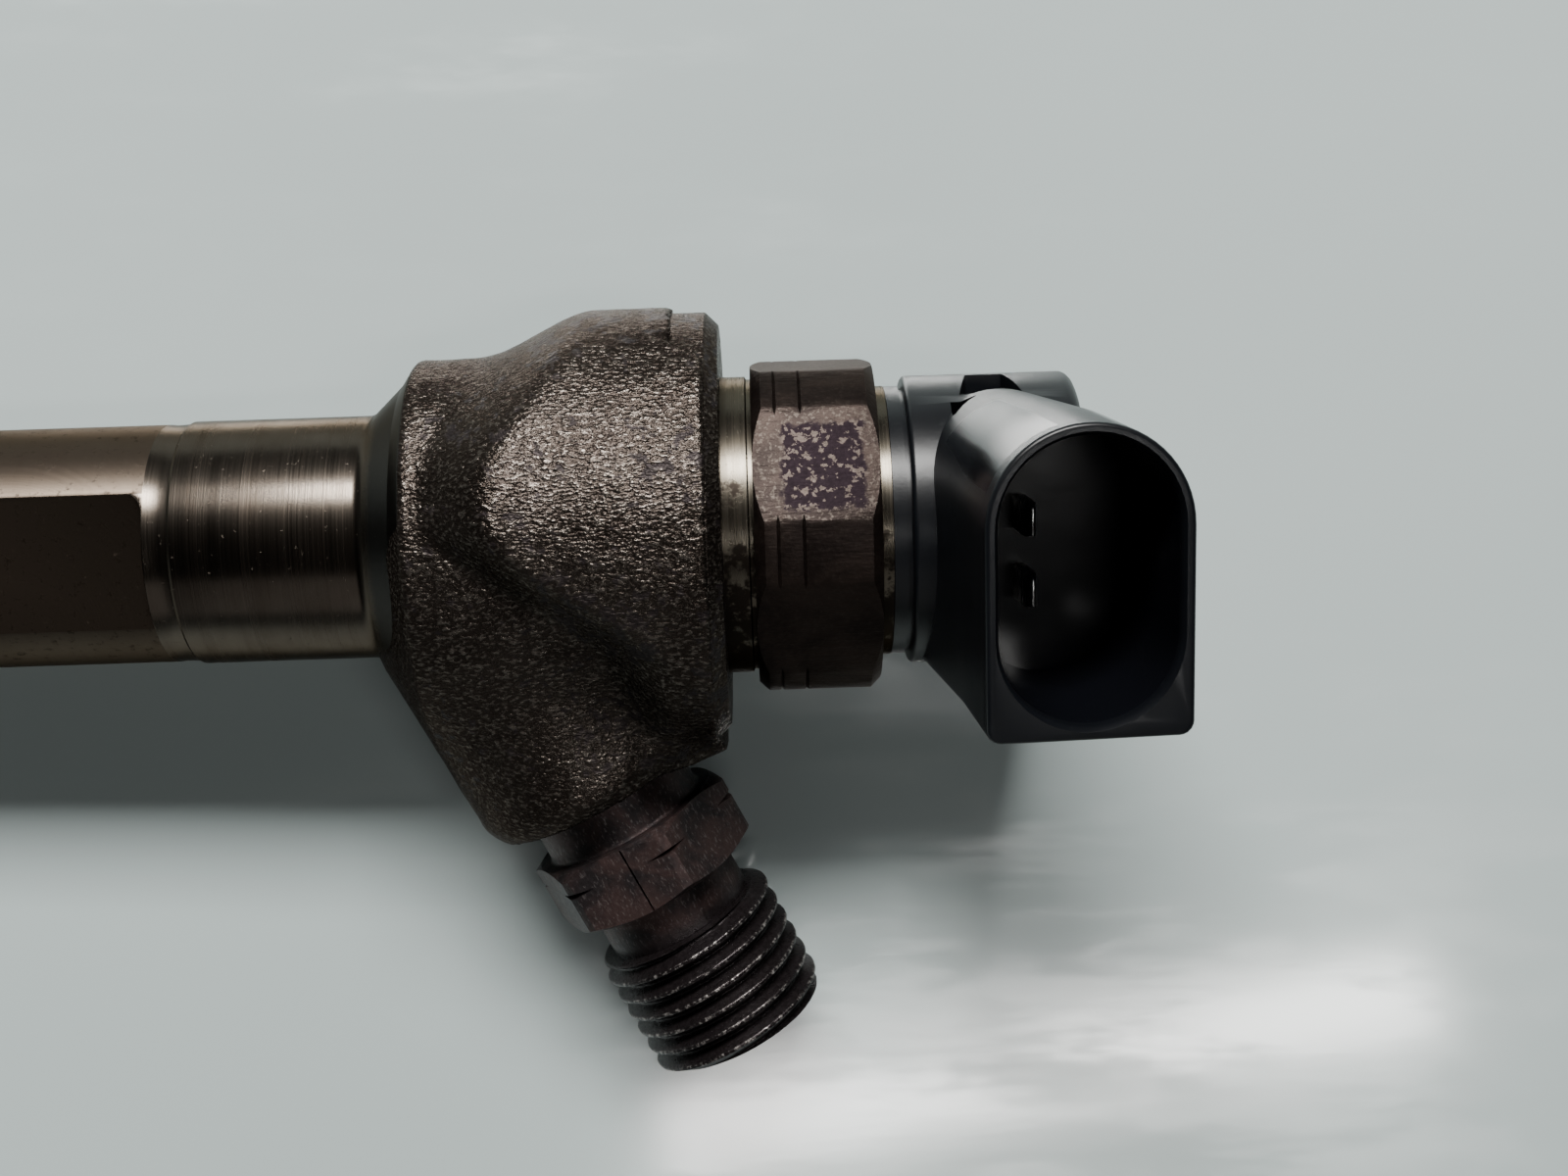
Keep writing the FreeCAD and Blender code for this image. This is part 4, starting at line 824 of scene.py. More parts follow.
@dataclass
class InjectorBody(Assembly):
    """The one-piece body: stem with clamp flats, forged head with its inlet boss, and neck."""

    stem_start: float = 31.0
    stem_radius: float = 8.42
    land_start: float = 99.1
    land_radius: float = 8.6
    stem_end: float = 112.0
    flat_start: float = 77.4
    flat_end: float = 97.4
    flats_across: float = 14.0
    voxel: float = 0.27
    swell_radius: float = 15.5
    neck_radius: float = 12.4
    boss_radius: float = 9.1
    boss_tip_radius: float = 8.2
    boss_end: float = 21.0
    boss_foot: float = 5.4
    boss_taper: float = 2.0
    well_radius: float = 7.2
    well_depth: float = 1.3
    fillet: float = 4.2
    collar_start: float = 2.6
    cone_start: float = 2.4
    cone_radius: float = 10.75
    cone_slope: float = 1.6
    rise_start: float = 4.2
    rise_run: float = 5.6
    slant_between: tuple[float, float] = (5.0, 15.5)
    slant_delay: float = 4.0
    slant_run: float = 2.0
    valley_between: tuple[float, float] = (3.5, -8.0)
    valley_delay: float = 11.5
    face_at: float = 23.45
    step_between: tuple[float, float] = (12.6, 13.6)
    step_depth: float = 2.25
    forged_between: tuple[float, float] = (3.3, 4.6)

    def build(self) -> None:
        """Builds the three pieces of the body."""
        self.stem()
        self.head()
        self.neck()

    def stem(self) -> None:
        """The turned stem, its land and the cone up to the forging, with both clamp flats milled."""
        end = self.stem_end
        stem = turn("stem", [
            (30.1, 0), (30.1, 7.4), (self.stem_start, 7.4),
            (self.stem_start, self.stem_radius, 0.35), (self.land_start - 1.6, self.stem_radius),
            (self.land_start - 1.3, self.stem_radius - 0.06), (self.land_start, self.stem_radius),
            (self.land_start + 0.2, self.land_radius), (end, self.land_radius, 1.1),
            (end + 2.4, 10.9, 0.8), (end + 3.3, 12.25, 0.3), (end + 4.2, 12.2), (end + 4.2, 0)])
        for side in (1, -1):
            outline = rounded([(self.flat_start, -9.0), (self.flat_end, -9.0, 0.01),
                               (self.flat_end, 4.75, 1.4), (self.flat_start, 4.75, 1.4)])
            levels = [side * self.flats_across / 2, side * (self.stem_radius + 1)]
            cut(stem, loft("mill", [[(x, side * y, z) for x, y in outline] for z in levels]))
        soften(stem, 0.10)
        self.hand_over(stem, Slot.TURNED, ["injector_body"])

    def head(self) -> None:
        """The forged head, a smooth union of its swell and the inlet boss, as one implicit surface.

        Each part is a distance in millimetres that is negative inside, and distances along X start
        at the stem's end.
        """
        graph, given = new_tree("forged_head", (
            "Stem End", "Neck Radius", "Swell Radius", "Boss Radius", "Boss Tip Radius", "Boss End",
            "Boss Angle", "Fillet", "Voxel"))
        position = Field(graph, graph.node("GeometryNodeInputPosition").outputs[0])
        x, y, z = graph.split(position)
        along = x - given["Stem End"]
        trunk = self.trunk(given, along, y, (y * y + z * z) ** 0.5)
        boss = self.boss(given, along, y, z)
        share = (0.5 + (boss - trunk) / given["Fillet"] * 0.5).unit()
        blend = boss * (1.0 - share) + trunk * share - given["Fillet"] * share * (1.0 - share)
        dents = graph.noise(position, 0.22, 3.0, 0.5) - 0.5
        skin = graph.noise(graph.join(x * 0.6, y, z), 1.3, 2.0, 0.5) - 0.5
        surface = blend + (dents * 0.40 + skin * 0.07) * along.between(*self.forged_between)
        box = {"X": (-1.5, 25.0), "Y": (-24.0, 16.6), "Z": (-16.6, 16.6)}
        low, high = (graph.join(given["Stem End"] + box["X"][end], box["Y"][end], box["Z"][end])
                     for end in (0, 1))
        counts = {f"Resolution {axis}": graph.math("DIVIDE", last - first, given["Voxel"]).math("CEIL")
                  for axis, (first, last) in box.items()}
        cloud = graph.node("GeometryNodeVolumeCube", inputs={
            "Density": (0.5 - surface / given["Voxel"] * 0.25).unit(), "Min": low, "Max": high,
            **counts})
        shell = graph.node("GeometryNodeVolumeToMesh", {"resolution_mode": "GRID"}, {
            "Volume": cloud.outputs[0], "Threshold": 0.5})
        end_tree(graph, shell.outputs[0], given["Material"])
        head = new_mesh("forged_head", [], [])
        nodes_modifier(head, graph.tree, {
            "Stem End": self.stem_end, "Neck Radius": self.neck_radius,
            "Swell Radius": self.swell_radius, "Boss Radius": self.boss_radius,
            "Boss Tip Radius": self.boss_tip_radius, "Boss End": self.boss_end,
            "Boss Angle": self.lie.inlet_angle, "Fillet": self.fillet, "Voxel": self.voxel,
            "Material": self.finishes[Slot.FORGED]})
        tidy_normals(head)
        self.hand_over(head, Slot.FORGED, ["injector_body"], sharp=60.0)

    def trunk(self, given: dict[str, Field], along: Field, y: Field, radius: Field) -> Field:
        """The swell, which draws back on the boss's side and leaves a valley before the boss."""
        slant = y.between(*self.slant_between)
        valley = y.between(*self.valley_between)
        rise = ((along - self.rise_start - slant * self.slant_delay - valley * self.valley_delay)
                / (self.rise_run + slant * self.slant_run)).eased()
        swell = given["Neck Radius"] + (given["Swell Radius"] - given["Neck Radius"]) * rise
        cone = self.cone_radius + (along - self.cone_start) * self.cone_slope
        face = self.face_at - y.between(*self.step_between) * self.step_depth
        return (radius - swell.least(cone)).most(self.collar_start - along).most(along - face)

    def boss(self, given: dict[str, Field], along: Field, y: Field, z: Field) -> Field:
        """The inlet boss, a leaning cylinder that narrows at its tip and has a well in its end."""
        foot = along - self.boss_foot
        reach = foot * given["Boss Angle"].math("COSINE") - y * given["Boss Angle"].math("SINE")
        off = (foot * foot + y * y + z * z - reach * reach).most(0.0) ** 0.5
        past = reach - given["Boss End"]
        taper = ((past + self.boss_taper) / self.boss_taper).unit()
        side = given["Boss Radius"] - (given["Boss Radius"] - given["Boss Tip Radius"]) * taper * taper
        boss = (off - side).most(past).most(-reach)
        return boss.most((self.well_radius - off).least(past + self.well_depth))

    def neck(self) -> None:
        """The head's turned face and the bright neck that carries the solenoid nut."""
        face = turn("head_face", [
            (20.6, 0), (20.6, 15.1), (23.5, 15.1, 0.2), (24.4, 14.2, 0.2), (24.4, 0)], self.stem_end)
        self.hand_over(face, Slot.FORGED, ["injector_body"])
        neck = turn("neck", [
            (23.9, 0), (23.9, 10.5), (26.1, 10.5), (26.2, 10.3), (27.0, 10.3), (27.0, 9.9),
            (31.5, 9.9), (31.5, 0)], self.stem_end)
        self.hand_over(neck, Slot.BRIGHT, ["injector_body"])


@dataclass
class SolenoidNut(Assembly):
    """The hexagonal nut that clamps the solenoid onto the head."""

    start: float = 26.5
    end: float = 35.0
    radius: float = 11.9
    bore: float = 9.95
    across_flats: float = 22.4
    chamfer: float = 0.7
    grooves: tuple[float, ...] = (28.1, 29.8)
    stem_end: float = 112.0

    def build(self) -> None:
        """Turns the nut with its two marking grooves and mills its six flats."""
        outline: Profile = [(self.start, self.bore), (self.start, self.radius - self.chamfer),
                            (self.start + self.chamfer, self.radius)]
        for groove in self.grooves:
            outline += [(groove - 0.12, self.radius), (groove, self.radius - 0.16),
                        (groove + 0.12, self.radius)]
        outline += [(self.end - self.chamfer, self.radius), (self.end, self.radius - self.chamfer),
                    (self.end, self.bore)]
        nut = turn("solenoid_nut", outline, self.stem_end, 240)
        cut(nut, hexagon(self.across_flats, self.stem_end + 20, self.stem_end + 40), "INTERSECT")
        soften(nut, 0.14, 2, 24.0)
        self.hand_over(nut, Slot.NUT, ["solenoid_nut"], sharp=24.0)


@dataclass
class PlugHead(Assembly):
    """The moulded solenoid head with its plug socket and the two blades in it."""

    stem_end: float = 112.0
    collar_radius: float = 9.5
    drum_start: float = 36.8
    drum_end: float = 49.0
    drum_radius: float = 10.2
    drum_round: float = 0.8
    port_start: float = 40.0
    port_radius: float = 3.65
    root_at: float = 43.2
    root_height: float = 3.0
    root_width: float = 11.0
    rim_at: float = 46.4
    rim_height: float = 25.0
    rim_width: float = 12.7
    rim_length: float = 19.2
    rim_straight: float = 9.0
    rim_corner: float = 0.9
    rim_round: float = 0.3
    tilt: float = math.radians(4)
    cavity_width: float = 11.0
    cavity_length: float = 17.6
    cavity_depth: float = 13.5
    blade_width: float = 2.2
    blade_thickness: float = 0.8
    blade_pitch: float = 4.6
    blade_offset: float = -1.6
    blade_tip: float = 9.0
    blade_length: float = 8.5

    def build(self) -> None:
        """Builds the housing and its blades."""
        self.housing()
        self.blades()

    def below_rim(self, across: float, side: float, down: float) -> tuple[float, float, float]:
        """A point so far below the socket's rim, along its leaning middle line."""
        cosine, sine = math.cos(self.tilt), math.sin(self.tilt)
        return (self.stem_end + self.rim_at + across * cosine - down * sine, side,
                self.rim_height - across * sine - down * cosine)

    def d_outline(self, width: float, inset: float = 0.0, steps: int = 32) -> Profile:
        """The socket's outline: a half round at +Y and a flat end with small corners at -Y."""
        wide, far = width / 2 - inset, self.rim_length / 2
        middle = far - width / 2
        arc = [(wide * math.cos(a), middle + wide * math.sin(a))
               for a in np.linspace(0, math.pi, steps)]
        corner = max(self.rim_corner - inset, 0.1)
        flat = rounded([(-wide, middle), (-wide, inset - far, corner), (wide, inset - far, corner),
                        (wide, middle)])
        return arc + flat[1:-1]

    def stadium(self, width: float, length: float, steps: int = 24) -> Profile:
        """The cavity's outline, its length along Y."""
        far = (length - width) / 2
        half = [(width / 2 * math.cos(a), far + width / 2 * math.sin(a))
                for a in np.linspace(0, math.pi, steps)]
        return half + [(-x, -y) for x, y in half]

    def housing(self) -> None:
        """The drum on its collar, joined to the leaning socket, with moulded windows."""
        collar, start, end = self.collar_radius, self.drum_start, self.drum_end
        drum = turn("connector_housing", [
            (35.85, 0), (35.85, collar), (start, collar), (start, collar - 0.3),
            (start + 0.3, collar - 0.3), (start + 0.3, self.drum_radius, 0.35),
            (end, self.drum_radius, self.drum_round), (end, self.port_radius, 0.3),
            (self.port_start, self.port_radius), (self.port_start, 0)], self.stem_end, 160)
        loops = [[(self.stem_end + self.root_at + x, y, self.root_height)
                  for x, y in self.d_outline(self.root_width)]]
        for down in (self.rim_straight, self.rim_round):
            loops.append([self.below_rim(x, y, down) for x, y in self.d_outline(self.rim_width)])
        for part in (0.25, 0.5, 0.75, 1.0):
            inset = self.rim_round * (1 - math.cos(part * math.pi / 2))
            down = self.rim_round * (1 - math.sin(part * math.pi / 2))
            loops.append([self.below_rim(x, y, down)
                          for x, y in self.d_outline(self.rim_width, inset)])
        cut(drum, loft("socket", loops), "UNION")
        levels = [(-0.5, 0.9), (0.0, 0.55), (0.3, 0.15), (0.6, 0.0), (self.cavity_depth, -0.5)]
        cavity = [[self.below_rim(x, y, down) for x, y in
                   self.stadium(self.cavity_width + wider, self.cavity_length + wider)]
                  for down, wider in levels]
        cut(drum, loft("cavity", cavity))
        self.windows(drum)
        self.hand_over(drum, Slot.PLASTIC, ["connector_housing"], sharp=38.0)

    def windows(self, drum: bpy.types.Object) -> None:
        """Pockets round the drum: an arrow-like one and small ones beside it."""
        shapes = [
            (65, 88, (40.8, 45.2), (41.6, 44.1)), (92.5, 100, (39.1, 39.9), (39.1, 39.9)),
            (92.5, 100, (44.1, 45.4), (44.1, 45.4)), (50, 60, (40.1, 41.8), (40.1, 41.8)),
            (-88, -65, (41.6, 44.1), (40.8, 45.2))]
        for first, last, base, tip in shapes:
            loop = []
            for edge, parts in enumerate((np.linspace(0, 1, 7), np.linspace(1, 0, 7))):
                for part in parts:
                    angle = math.radians(first + (last - first) * part)
                    loop.append((base[edge] + (tip[edge] - base[edge]) * part, angle))
            loops = [[(self.stem_end + u, radius * math.sin(a), radius * math.cos(a)) for u, a in loop]
                     for radius in (self.drum_radius - 1.3, self.drum_radius + 0.6)]
            cut(drum, loft("window", loops))

    def blades(self) -> None:
        """Two tinned blades with bevelled tips, as one piece."""
        thick, wide = self.blade_thickness / 2, self.blade_width / 2
        levels = [(0.0, 0.18), (0.5, 0.6), (1.1, 1.0), (self.blade_length, 1.0)]
        pins = None
        for hand in (1, -1):
            loops = []
            for down, share in levels:
                across, along = thick * share, wide * (0.75 + 0.25 * share)
                corners = [(-across, -along), (across, -along), (across, along), (-across, along)]
                loops.append([self.below_rim(self.blade_offset + x, hand * self.blade_pitch / 2 + y,
                                             self.blade_tip + down) for x, y in corners])
            blade = loft("terminal_pins", loops)
            if pins is None:
                pins = blade
            else:
                cut(pins, blade, "UNION")
        soften(pins, 0.06)
        self.hand_over(pins, Slot.TERMINAL, ["terminal_pins"])


@dataclass
class InletUnion(Assembly):
    """The high-pressure inlet union: a hexagon, a relief and a helical thread round a cone seat."""

    boss_end: float = 21.0
    neck_radius: float = 6.0
    hex_start: float = 24.2
    hex_end: float = 29.3
    hex_across: float = 14.0
    hex_corner: float = 7.9
    hex_clock: float = math.radians(36.3)
    groove_at: float = 25.9
    groove_radius: float = 7.3
    relief_radius: float = 5.5
    thread_start: float = 32.7
    thread_end: float = 42.2
    thread_radius: float = 6.9
    thread_depth: float = 0.92
    pitch: float = 1.5
    bore: float = 2.1
    seat_start: float = 40.6
    seat_radius: float = 3.6
    facets: int = 120
    rows_per_turn: int = 24

    def build(self) -> None:
        """Builds the hexagon and the threaded end."""
        self.hexagon_part()
        self.thread()

    def hexagon_part(self) -> None:
        """The neck, the chamfered hexagon with a groove turned across its corners, and the relief."""
        start, end, corner, relief = self.hex_start, self.hex_end, self.hex_corner, self.relief_radius
        chamfer, slope = 0.9, 0.58
        back, lip = self.boss_end - 1.5, self.thread_start + 0.6
        turned = turn("inlet_hexagon", [
            (back, 0), (back, self.neck_radius), (start, self.neck_radius, 0.3),
            (start, corner - chamfer), (start + chamfer * slope, corner),
            (self.groove_at - 0.2, corner), (self.groove_at, self.groove_radius),
            (self.groove_at + 0.2, corner), (end - chamfer * slope, corner),
            (end, corner - chamfer), (end, relief, 0.4), (lip, relief), (lip, 0)])
        cut(turned, jaws(self.hex_across, (
            (0.0, 7.0), (start - 0.05, 7.0), (start - 0.02, 0.0), (end + 0.02, 0.0), (end + 0.05, 7.0),
            (50.0, 7.0)), self.hex_clock), "INTERSECT")
        soften(turned, 0.13, 2, 20.0)
        self.hand_over(turned, Slot.UNION, ["inlet_fitting"], self.lie.inlet_seat(), 24.0)

    def thread(self) -> None:
        """The thread as a grid wrapped round X, whose radius follows the helix."""
        graph, given = new_tree(
            "inlet_thread", ("Start", "End", "Radius", "Depth", "Pitch", "Lead"), ("Facets", "Rows"))
        grid = graph.node("GeometryNodeMeshGrid", inputs={
            "Size X": 1.0, "Size Y": 1.0, "Vertices X": given["Rows"], "Vertices Y": given["Facets"]})
        position = Field(graph, graph.node("GeometryNodeInputPosition").outputs[0])
        u, v, _ = graph.split(position)
        row = (u + 0.5) * (given["Rows"] - 1)
        last = given["Rows"] - 1
        span = given["End"] - given["Start"]
        along = given["Start"] + span * ((row - 1) / (last - 2)).unit()
        angle = (v + 0.5) * (2 * math.pi)
        phase = ((along - given["Start"]) / given["Pitch"] - angle / (2 * math.pi) + 8.0).math("FRACT")
        tooth = ((0.5 - abs(phase - 0.5)) * 2.6 - 0.12).unit()
        runout = given["Lead"] * 0.5
        from_ends = (along - given["Start"] + runout).least(given["End"] - along + runout)
        crest = given["Radius"] - given["Depth"] + from_ends.least(given["Depth"])
        dents = graph.noise(graph.join(along, angle, 0.0), 1.7, 3.0, 0.6) - 0.5
        radius = (given["Radius"] - given["Depth"] * (1.0 - tooth)).least(crest) + dents * 0.05
        inside = row.math("GREATER_THAN", 0.5) * row.math("LESS_THAN", last - 0.5)
        radius = radius * inside
        placed = graph.join(along, radius * angle.math("COSINE"), radius * angle.math("SINE"))
        moved = graph.node("GeometryNodeSetPosition", inputs={
            "Geometry": grid.outputs[0], "Position": placed})
        sewn = graph.node("GeometryNodeMergeByDistance", inputs={
            "Geometry": moved.outputs[0], "Distance": 0.0005})
        end_tree(graph, sewn.outputs[0], given["Material"])
        thread = new_mesh("inlet_thread", [], [])
        turns = (self.thread_end - self.thread_start) / self.pitch
        nodes_modifier(thread, graph.tree, {
            "Start": self.thread_start, "End": self.thread_end, "Radius": self.thread_radius,
            "Depth": self.thread_depth, "Pitch": self.pitch, "Lead": 0.8, "Facets": self.facets + 1,
            "Rows": int(turns * self.rows_per_turn), "Material": self.finishes[Slot.UNION]})
        tidy_normals(thread, 1e-3)
        cut(thread, turn("seat", [
            (self.thread_start + 1.0, 0), (self.thread_start + 1.0, self.bore),
            (self.seat_start, self.bore), (self.thread_end + 0.3, self.seat_radius + 0.28),
            (self.thread_end + 0.3, 0)], 0.0, 96))
        self.hand_over(thread, Slot.UNION, ["inlet_fitting"], self.lie.inlet_seat(), 50.0)


@dataclass
class NozzleEnd(Assembly):
    """The nozzle with its spray holes, its retaining nut and the copper washer."""

    tip: float = -19.5
    tip_cone: float = -18.4
    tip_radius: float = 1.5
    shank_radius: float = 3.5
    washer_radius: float = 7.5
    washer_bore: float = 3.8
    washer_end: float = 1.5
    nut_radius: float = 8.5
    nut_end: float = 30.0
    hex_across: float = 15.0
    hex_end: float = 9.5
    holes: int = 8
    hole_radius: float = 0.09

    def build(self) -> None:
        """Builds the three pieces and the ring of spray holes."""
        shank, bore, end = self.shank_radius, self.washer_bore, self.washer_end
        nozzle = turn("nozzle_body", [
            (self.tip, 0), (self.tip, self.tip_radius, 0.55), (self.tip_cone, shank, 0.35),
            (-15.2, shank), (-15.0, shank - 0.12), (-14.2, shank - 0.12), (-14.0, shank),
            (1.6, shank), (1.6, 0)])
        self.hand_over(nozzle, Slot.NOZZLE, ["nozzle_body"])
        self.spray_holes()
        washer = turn("sealing_washer", [
            (0, bore, 0.2), (0, self.washer_radius, 0.35), (end, self.washer_radius, 0.35),
            (end, bore, 0.2)])
        self.hand_over(washer, Slot.COPPER, ["sealing_washer"])
        radius, top = self.nut_radius, self.nut_end
        nut = turn("nozzle_retaining_nut", [
            (end, 3.6), (end, radius - 0.8), (end + 0.8, radius), (top - 1.2, radius),
            (top - 1.0, radius - 0.2), (top - 0.6, radius - 0.2), (top, radius - 0.7), (top, 3.6)])
        cut(nut, jaws(self.hex_across, (
            (-1.0, 0.0), (self.hex_end, 0.0), (self.hex_end + 0.6, 9.5), (40.0, 9.5)),
            count=180), "INTERSECT")
        soften(nut, 0.10, 2, 20.0)
        self.hand_over(nut, Slot.TURNED, ["nozzle_retaining_nut"], sharp=24.0)

    def spray_holes(self) -> None:
        """Short dark plugs that show each spray hole's mouth, set round the tip's cone."""
        graph, given = new_tree("spray_holes", ("Ring Radius", "Hole Radius", "Along"), ("Count",))
        ring = graph.node("GeometryNodeMeshCircle", {"fill_type": "NONE"}, {
            "Vertices": given["Count"], "Radius": given["Ring Radius"]})
        stood = graph.node("GeometryNodeTransform", inputs={
            "Geometry": ring.outputs[0], "Rotation": (0.0, math.pi / 2, 0.0),
            "Translation": graph.join(given["Along"], 0.0, 0.0)})
        hole = graph.node("GeometryNodeMeshUVSphere", inputs={
            "Segments": 12, "Rings": 6, "Radius": given["Hole Radius"]})
        copies = graph.node("GeometryNodeInstanceOnPoints", inputs={
            "Points": stood.outputs[0], "Instance": hole.outputs[0]})
        end_tree(graph, copies.outputs[0], given["Material"])
        holes = new_mesh("spray_hole_mouths", [], [])
        middle = (self.tip_cone + self.tip) / 2
        nodes_modifier(holes, graph.tree, {
            "Count": self.holes, "Ring Radius": (self.tip_radius + self.shank_radius) / 2 - 0.02,
            "Hole Radius": self.hole_radius, "Along": middle,
            "Material": self.finishes[Slot.HARDENED]})
        self.hand_over(holes, Slot.HARDENED, ["nozzle_body"], sharp=60.0)


@dataclass(frozen=True)
class Coil:
    """One coil spring: its seats along the axis, its wire, and the bodies it bends between."""

    node: str
    start: float
    end: float
    radius: float
    wire: float
    pitch: float
    bodies: tuple[str, str]


@dataclass
class Springs(Assembly):
    """The coil springs inside, each coiled between its two seats."""

    body: str = ""
    seat_gap: float = 1.05
    coils: tuple[Coil, ...] = (
        Coil("nozzle_spring", 24.3, 50.0, 2.3, 0.45, 1.7, ("needle", "housing")),
        Coil("overtravel_spring", 131.0, 134.0, 2.9, 0.25, 0.85, ("armature", "plate")),
        Coil("solenoid_spring", 137.6, 145.6, 1.05, 0.22, 0.8, ("armature", "housing")))

    def build(self) -> None:
        """Coils each spring between its seats."""
        graph = self.coil_tree()
        for coil in self.coils:
            spring = new_mesh(coil.node, [], [])
            gap = self.seat_gap * coil.wire
            height = coil.end - coil.start - 2 * gap
            nodes_modifier(spring, graph.tree, {
                "Start": coil.start + gap, "Height": height, "Coil Radius": coil.radius,
                "Wire Radius": coil.wire, "Turns": height / coil.pitch,
                "Material": self.finishes[Slot.SPRING]})
            self.hand_over(spring, Slot.SPRING, [coil.node], sharp=60.0)
            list(coil.bodies)
            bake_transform(spring)

    @staticmethod
    def coil_tree() -> Graph:
        """A wire swept along a helix about X."""
        graph, given = new_tree("coil_spring", (
            "Start", "Height", "Coil Radius", "Wire Radius", "Turns"))
        path = graph.node("GeometryNodeCurveSpiral", inputs={
            "Resolution": 28, "Rotations": given["Turns"], "Start Radius": given["Coil Radius"],
            "End Radius": given["Coil Radius"], "Height": given["Height"]})
        section = graph.node("GeometryNodeCurvePrimitiveCircle", inputs={
            "Resolution": 12, "Radius": given["Wire Radius"]})
        wire = graph.node("GeometryNodeCurveToMesh", inputs={
            "Curve": path.outputs[0], "Profile Curve": section.outputs[0], "Fill Caps": True})
        laid = graph.node("GeometryNodeTransform", inputs={
            "Geometry": wire.outputs[0], "Rotation": (0.0, math.pi / 2, 0.0),
            "Translation": graph.join(given["Start"], 0.0, 0.0)})
        end_tree(graph, laid.outputs[0], given["Material"])
        return graph


# ---------------------------------------------------------------------------------------------
# Stage
# ---------------------------------------------------------------------------------------------


@dataclass(frozen=True)
class Bench(Finish):
    """A pale lacquered bench top with faint smears."""

    pale: Colour = (0.50, 0.575, 0.572)
    dull: Colour = (0.475, 0.548, 0.546)

    def surface(self, graph: Graph, place: Place, shader: bpy.types.Node) -> Field:
        """Faint clouds and smears in the gloss."""
        cloud = graph.noise(place.point, 0.012, 3.0, 0.5)
        smear = graph.noise(graph.rows(place, (0.03, 0.12, 0.1)), 1.0, 5.0, 0.7)
        wide = graph.noise(place.point, 0.03, 2.0, 0.5)
        tone = graph.mix(cloud.between(0.3, 0.7), self.pale, self.dull)
        self.paint(graph, shader, tone, 0.10 + smear.between(0.45, 0.75) * 0.14)
        shader.inputs["Specular IOR Level"].default_value = 0.8
        shader.inputs["IOR"].default_value = 1.8
        return wide * 0.06 + smear * 0.006


@dataclass(frozen=True)
class Stage:
    """The bench that the injector lies on, the lamps and the camera."""

    lie: Lie
    nut_touch: tuple[float, float] = (9.5, 8.5)
    head_touch: tuple[float, float] = (133.2, 15.6)
    half_size: float = 3000.0
    lens: float = 45.0
    aim: tuple[float, float, float] = (140.43, -4.61, -0.17)
    distance: float = 140.0
    camera_turn: tuple[float, float, float] = (2.1, -0.45, -1.9)
    room: float = 0.075
    lamp_tint: Colour = (1.0, 0.99, 0.965)

    def build(self) -> None:
        """Sets up the whole stage."""
        self.bench()
        self.lamps()
        self.camera()

    def bench(self) -> None:
        """A level-in-Y plane that touches the nozzle nut and the head, so it dips towards +X."""
        (x0, r0), (x1, r1) = self.nut_touch, self.head_touch
        slope = (r1 - r0) / (x1 - x0)
        height = -r0 + slope * x0
        size = self.half_size
        corners = [(x * MM, y * MM, (height - slope * x) * MM) for x, y in (
            (-size, -size), (size, -size), (size, size), (-size, size))]
        floor = new_mesh("bench", corners, [(0, 1, 2, 3)])
        floor.data.materials.append(Bench("bench", self.lie).material())

    def lamps(self) -> None:
        """A large soft window from +Y, a weak strip overhead and a grey room."""
        world = bpy.data.worlds.new("room")
        world.use_nodes = True
        graph = Graph(world.node_tree)
        way = graph.node("ShaderNodeTexCoord").outputs["Generated"]
        _, y, z = graph.split(way)
        overhead = (z * 0.96 - y * 0.28).between(0.25, 0.70)
        air = graph.mix(overhead, (0.78, 0.88, 0.91), (0.03, 0.03, 0.03))
        graph.feed(world.node_tree.nodes["Background"].inputs["Color"], air)
        world.node_tree.nodes["Background"].inputs["Strength"].default_value = self.room
        bpy.context.scene.world = world
        middle = Vector((0.135, -0.005, 0.0))
        for name, place, size, power, spin in (
                ("window", (0.10, 0.52, 0.60), (0.46, 0.20), 13.7, 0.0),
                ("strip", (0.414, -0.261, 1.00), (0.47, 0.05), 1.3, -39.1),
                ("fill", (0.12, -0.75, 0.45), (0.90, 0.60), 0.55, 0.0)):
            lamp = bpy.data.lights.new(name, "AREA")
            lamp.shape = "RECTANGLE"
            lamp.size, lamp.size_y = size
            lamp.energy = power
            lamp.color = self.lamp_tint
            holder = bpy.data.objects.new(name, lamp)
            holder.location = place
            aimed = (middle - Vector(place)).to_track_quat("-Z", "Y").to_matrix()
            holder.rotation_euler = (aimed @ Matrix.Rotation(math.radians(spin), 3, "Z")).to_euler()
            bpy.context.scene.collection.objects.link(holder)

    def camera(self) -> None:
        """A camera that looks almost straight down at the head."""
        data = bpy.data.cameras.new("camera")
        data.lens = self.lens
        data.clip_start = 0.01
        holder = bpy.data.objects.new("camera", data)
        tilt, lean, spin = (math.radians(angle) for angle in self.camera_turn)
        turned = (Matrix.Rotation(tilt, 3, "X") @ Matrix.Rotation(spin, 3, "Z")
                  @ Matrix.Rotation(lean, 3, "Y"))
        place = Vector(self.aim) + turned @ Vector((0, 0, self.distance))
        holder.matrix_world = Matrix.Translation(place * MM) @ turned.to_4x4()
        bpy.context.scene.collection.objects.link(holder)
        bpy.context.scene.camera = holder


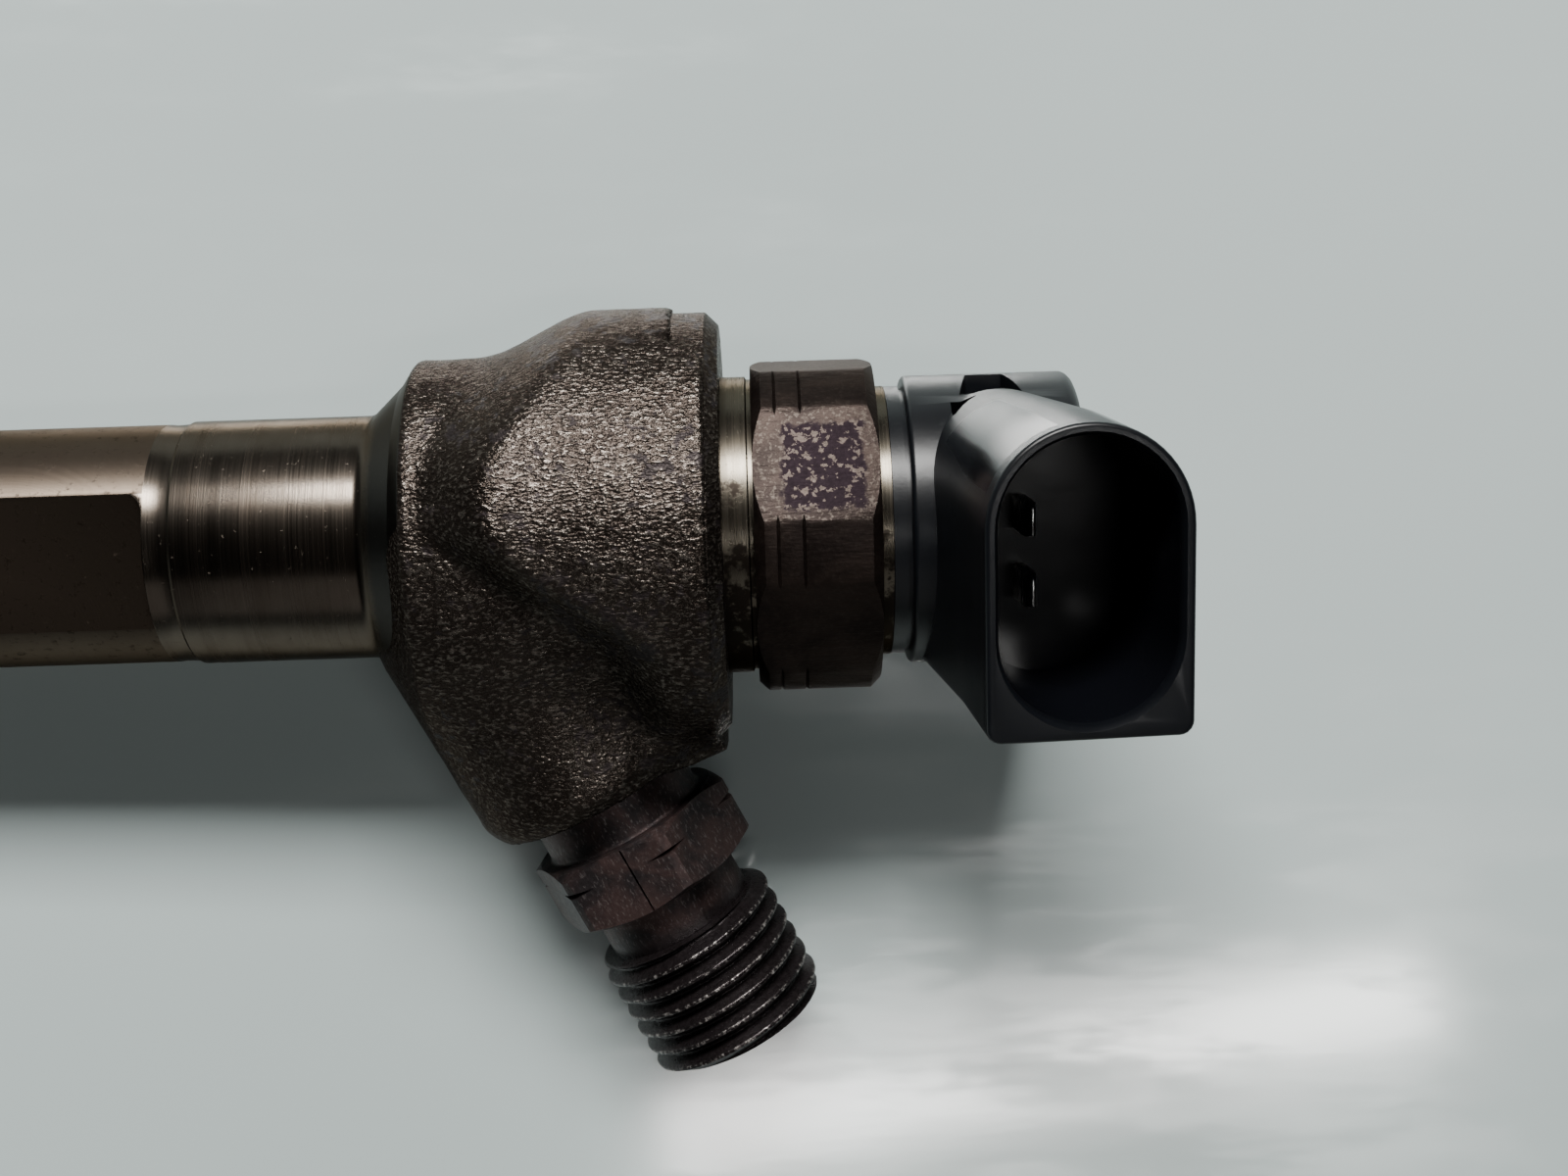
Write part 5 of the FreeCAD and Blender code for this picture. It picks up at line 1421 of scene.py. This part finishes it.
def all_finishes(lie: Lie) -> dict[str, bpy.types.Material]:
    """One material for each of the record's material slots."""
    finishes: list[Finish] = [
        Forged("forged_steel", lie),
        Stem("turned_steel", lie),
        Machined("nozzle_steel", lie, steel=(0.16, 0.145, 0.135), tarnish=(0.06, 0.047, 0.04),
                 rough=0.34),
        Machined("hardened_steel", lie, steel=(0.45, 0.45, 0.46), tarnish=(0.30, 0.29, 0.28),
                 rough=0.16, ring_depth=0.001, tarnished=0.3, pitted=0.1),
        NeckWithStainAndShade("bright_steel", lie, steel=(0.125, 0.112, 0.090), tarnish=(0.070, 0.054, 0.038),
                  rough=0.24, ring_depth=0.003, tarnished=0.6, pitted=0.6),
        Machined("tinned_terminal", lie, steel=(0.55, 0.55, 0.55), tarnish=(0.34, 0.32, 0.30),
                 rough=0.25, ring_depth=0.001, tarnished=0.4, pitted=0.1),
        Machined("copper", lie, steel=(0.45, 0.19, 0.10), tarnish=(0.15, 0.065, 0.04), rough=0.30,
                 ring_depth=0.003),
        Phosphate("phosphated_steel", lie),
        InletSteel("union_steel", lie, on_inlet=True),
        Moulded("black_plastic", lie),
        Plain("spring_steel", lie, light=(0.40, 0.40, 0.41), shade=(0.26, 0.25, 0.24), rough=0.24),
        Plain("seal_polymer", lie, light=(0.55, 0.50, 0.40), shade=(0.44, 0.38, 0.28),
              metallic=0.0, rough=0.5),
        Plain("ceramic", lie, light=(0.80, 0.78, 0.72), shade=(0.70, 0.68, 0.62),
              metallic=0.0, rough=0.25),
        Plain("magnet_iron", lie, light=(0.20, 0.19, 0.19), shade=(0.12, 0.11, 0.11), rough=0.5,
              depth=0.02),
        Plain("enamelled_copper", lie, light=(0.55, 0.20, 0.08), shade=(0.38, 0.12, 0.05), rough=0.2,
              grain=1.2),
        Plain("bobbin_plastic", lie, light=(0.36, 0.33, 0.27), shade=(0.28, 0.25, 0.20),
              metallic=0.0, rough=0.45),
        Plain("seal_rubber", lie, light=(0.025, 0.025, 0.026), shade=(0.014, 0.014, 0.015),
              metallic=0.0, rough=0.55),
    ]
    return {finish.name: finish.material() for finish in finishes}


def dress_frame(frame: dict, materials: dict[str, bpy.types.Material]) -> None:
    """Gives every CAD node the material of each slot that it uses."""
    for name, node in frame["nodes"].items():
        for index, slot in enumerate(node.material_slots):
            wanted = slot.material.name.split(".")[0] if slot.material else ""
            known = next((label for label in materials if wanted.endswith(label)), None)
            if known is None:
                log.warning("%s keeps %s", name, wanted)
                continue
            node.material_slots[index].material = materials[known]


def main() -> None:
    """Builds the injector's looks round its frame."""
    logging.basicConfig(level=logging.INFO, format="%(name)s: %(message)s", stream=sys.stdout)
    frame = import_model()
    lie = Lie.of(frame["record"])
    materials = all_finishes(lie)
    dress_frame(frame, materials)
    finishes = {slot: materials[slot.value] for slot in Slot}
    for assembly in (InjectorBody, SolenoidNut, PlugHead, InletUnion, NozzleEnd, Springs):
        assembly(lie, finishes).build()
    Stage(lie).build()


if __name__ == "__main__":
    main()
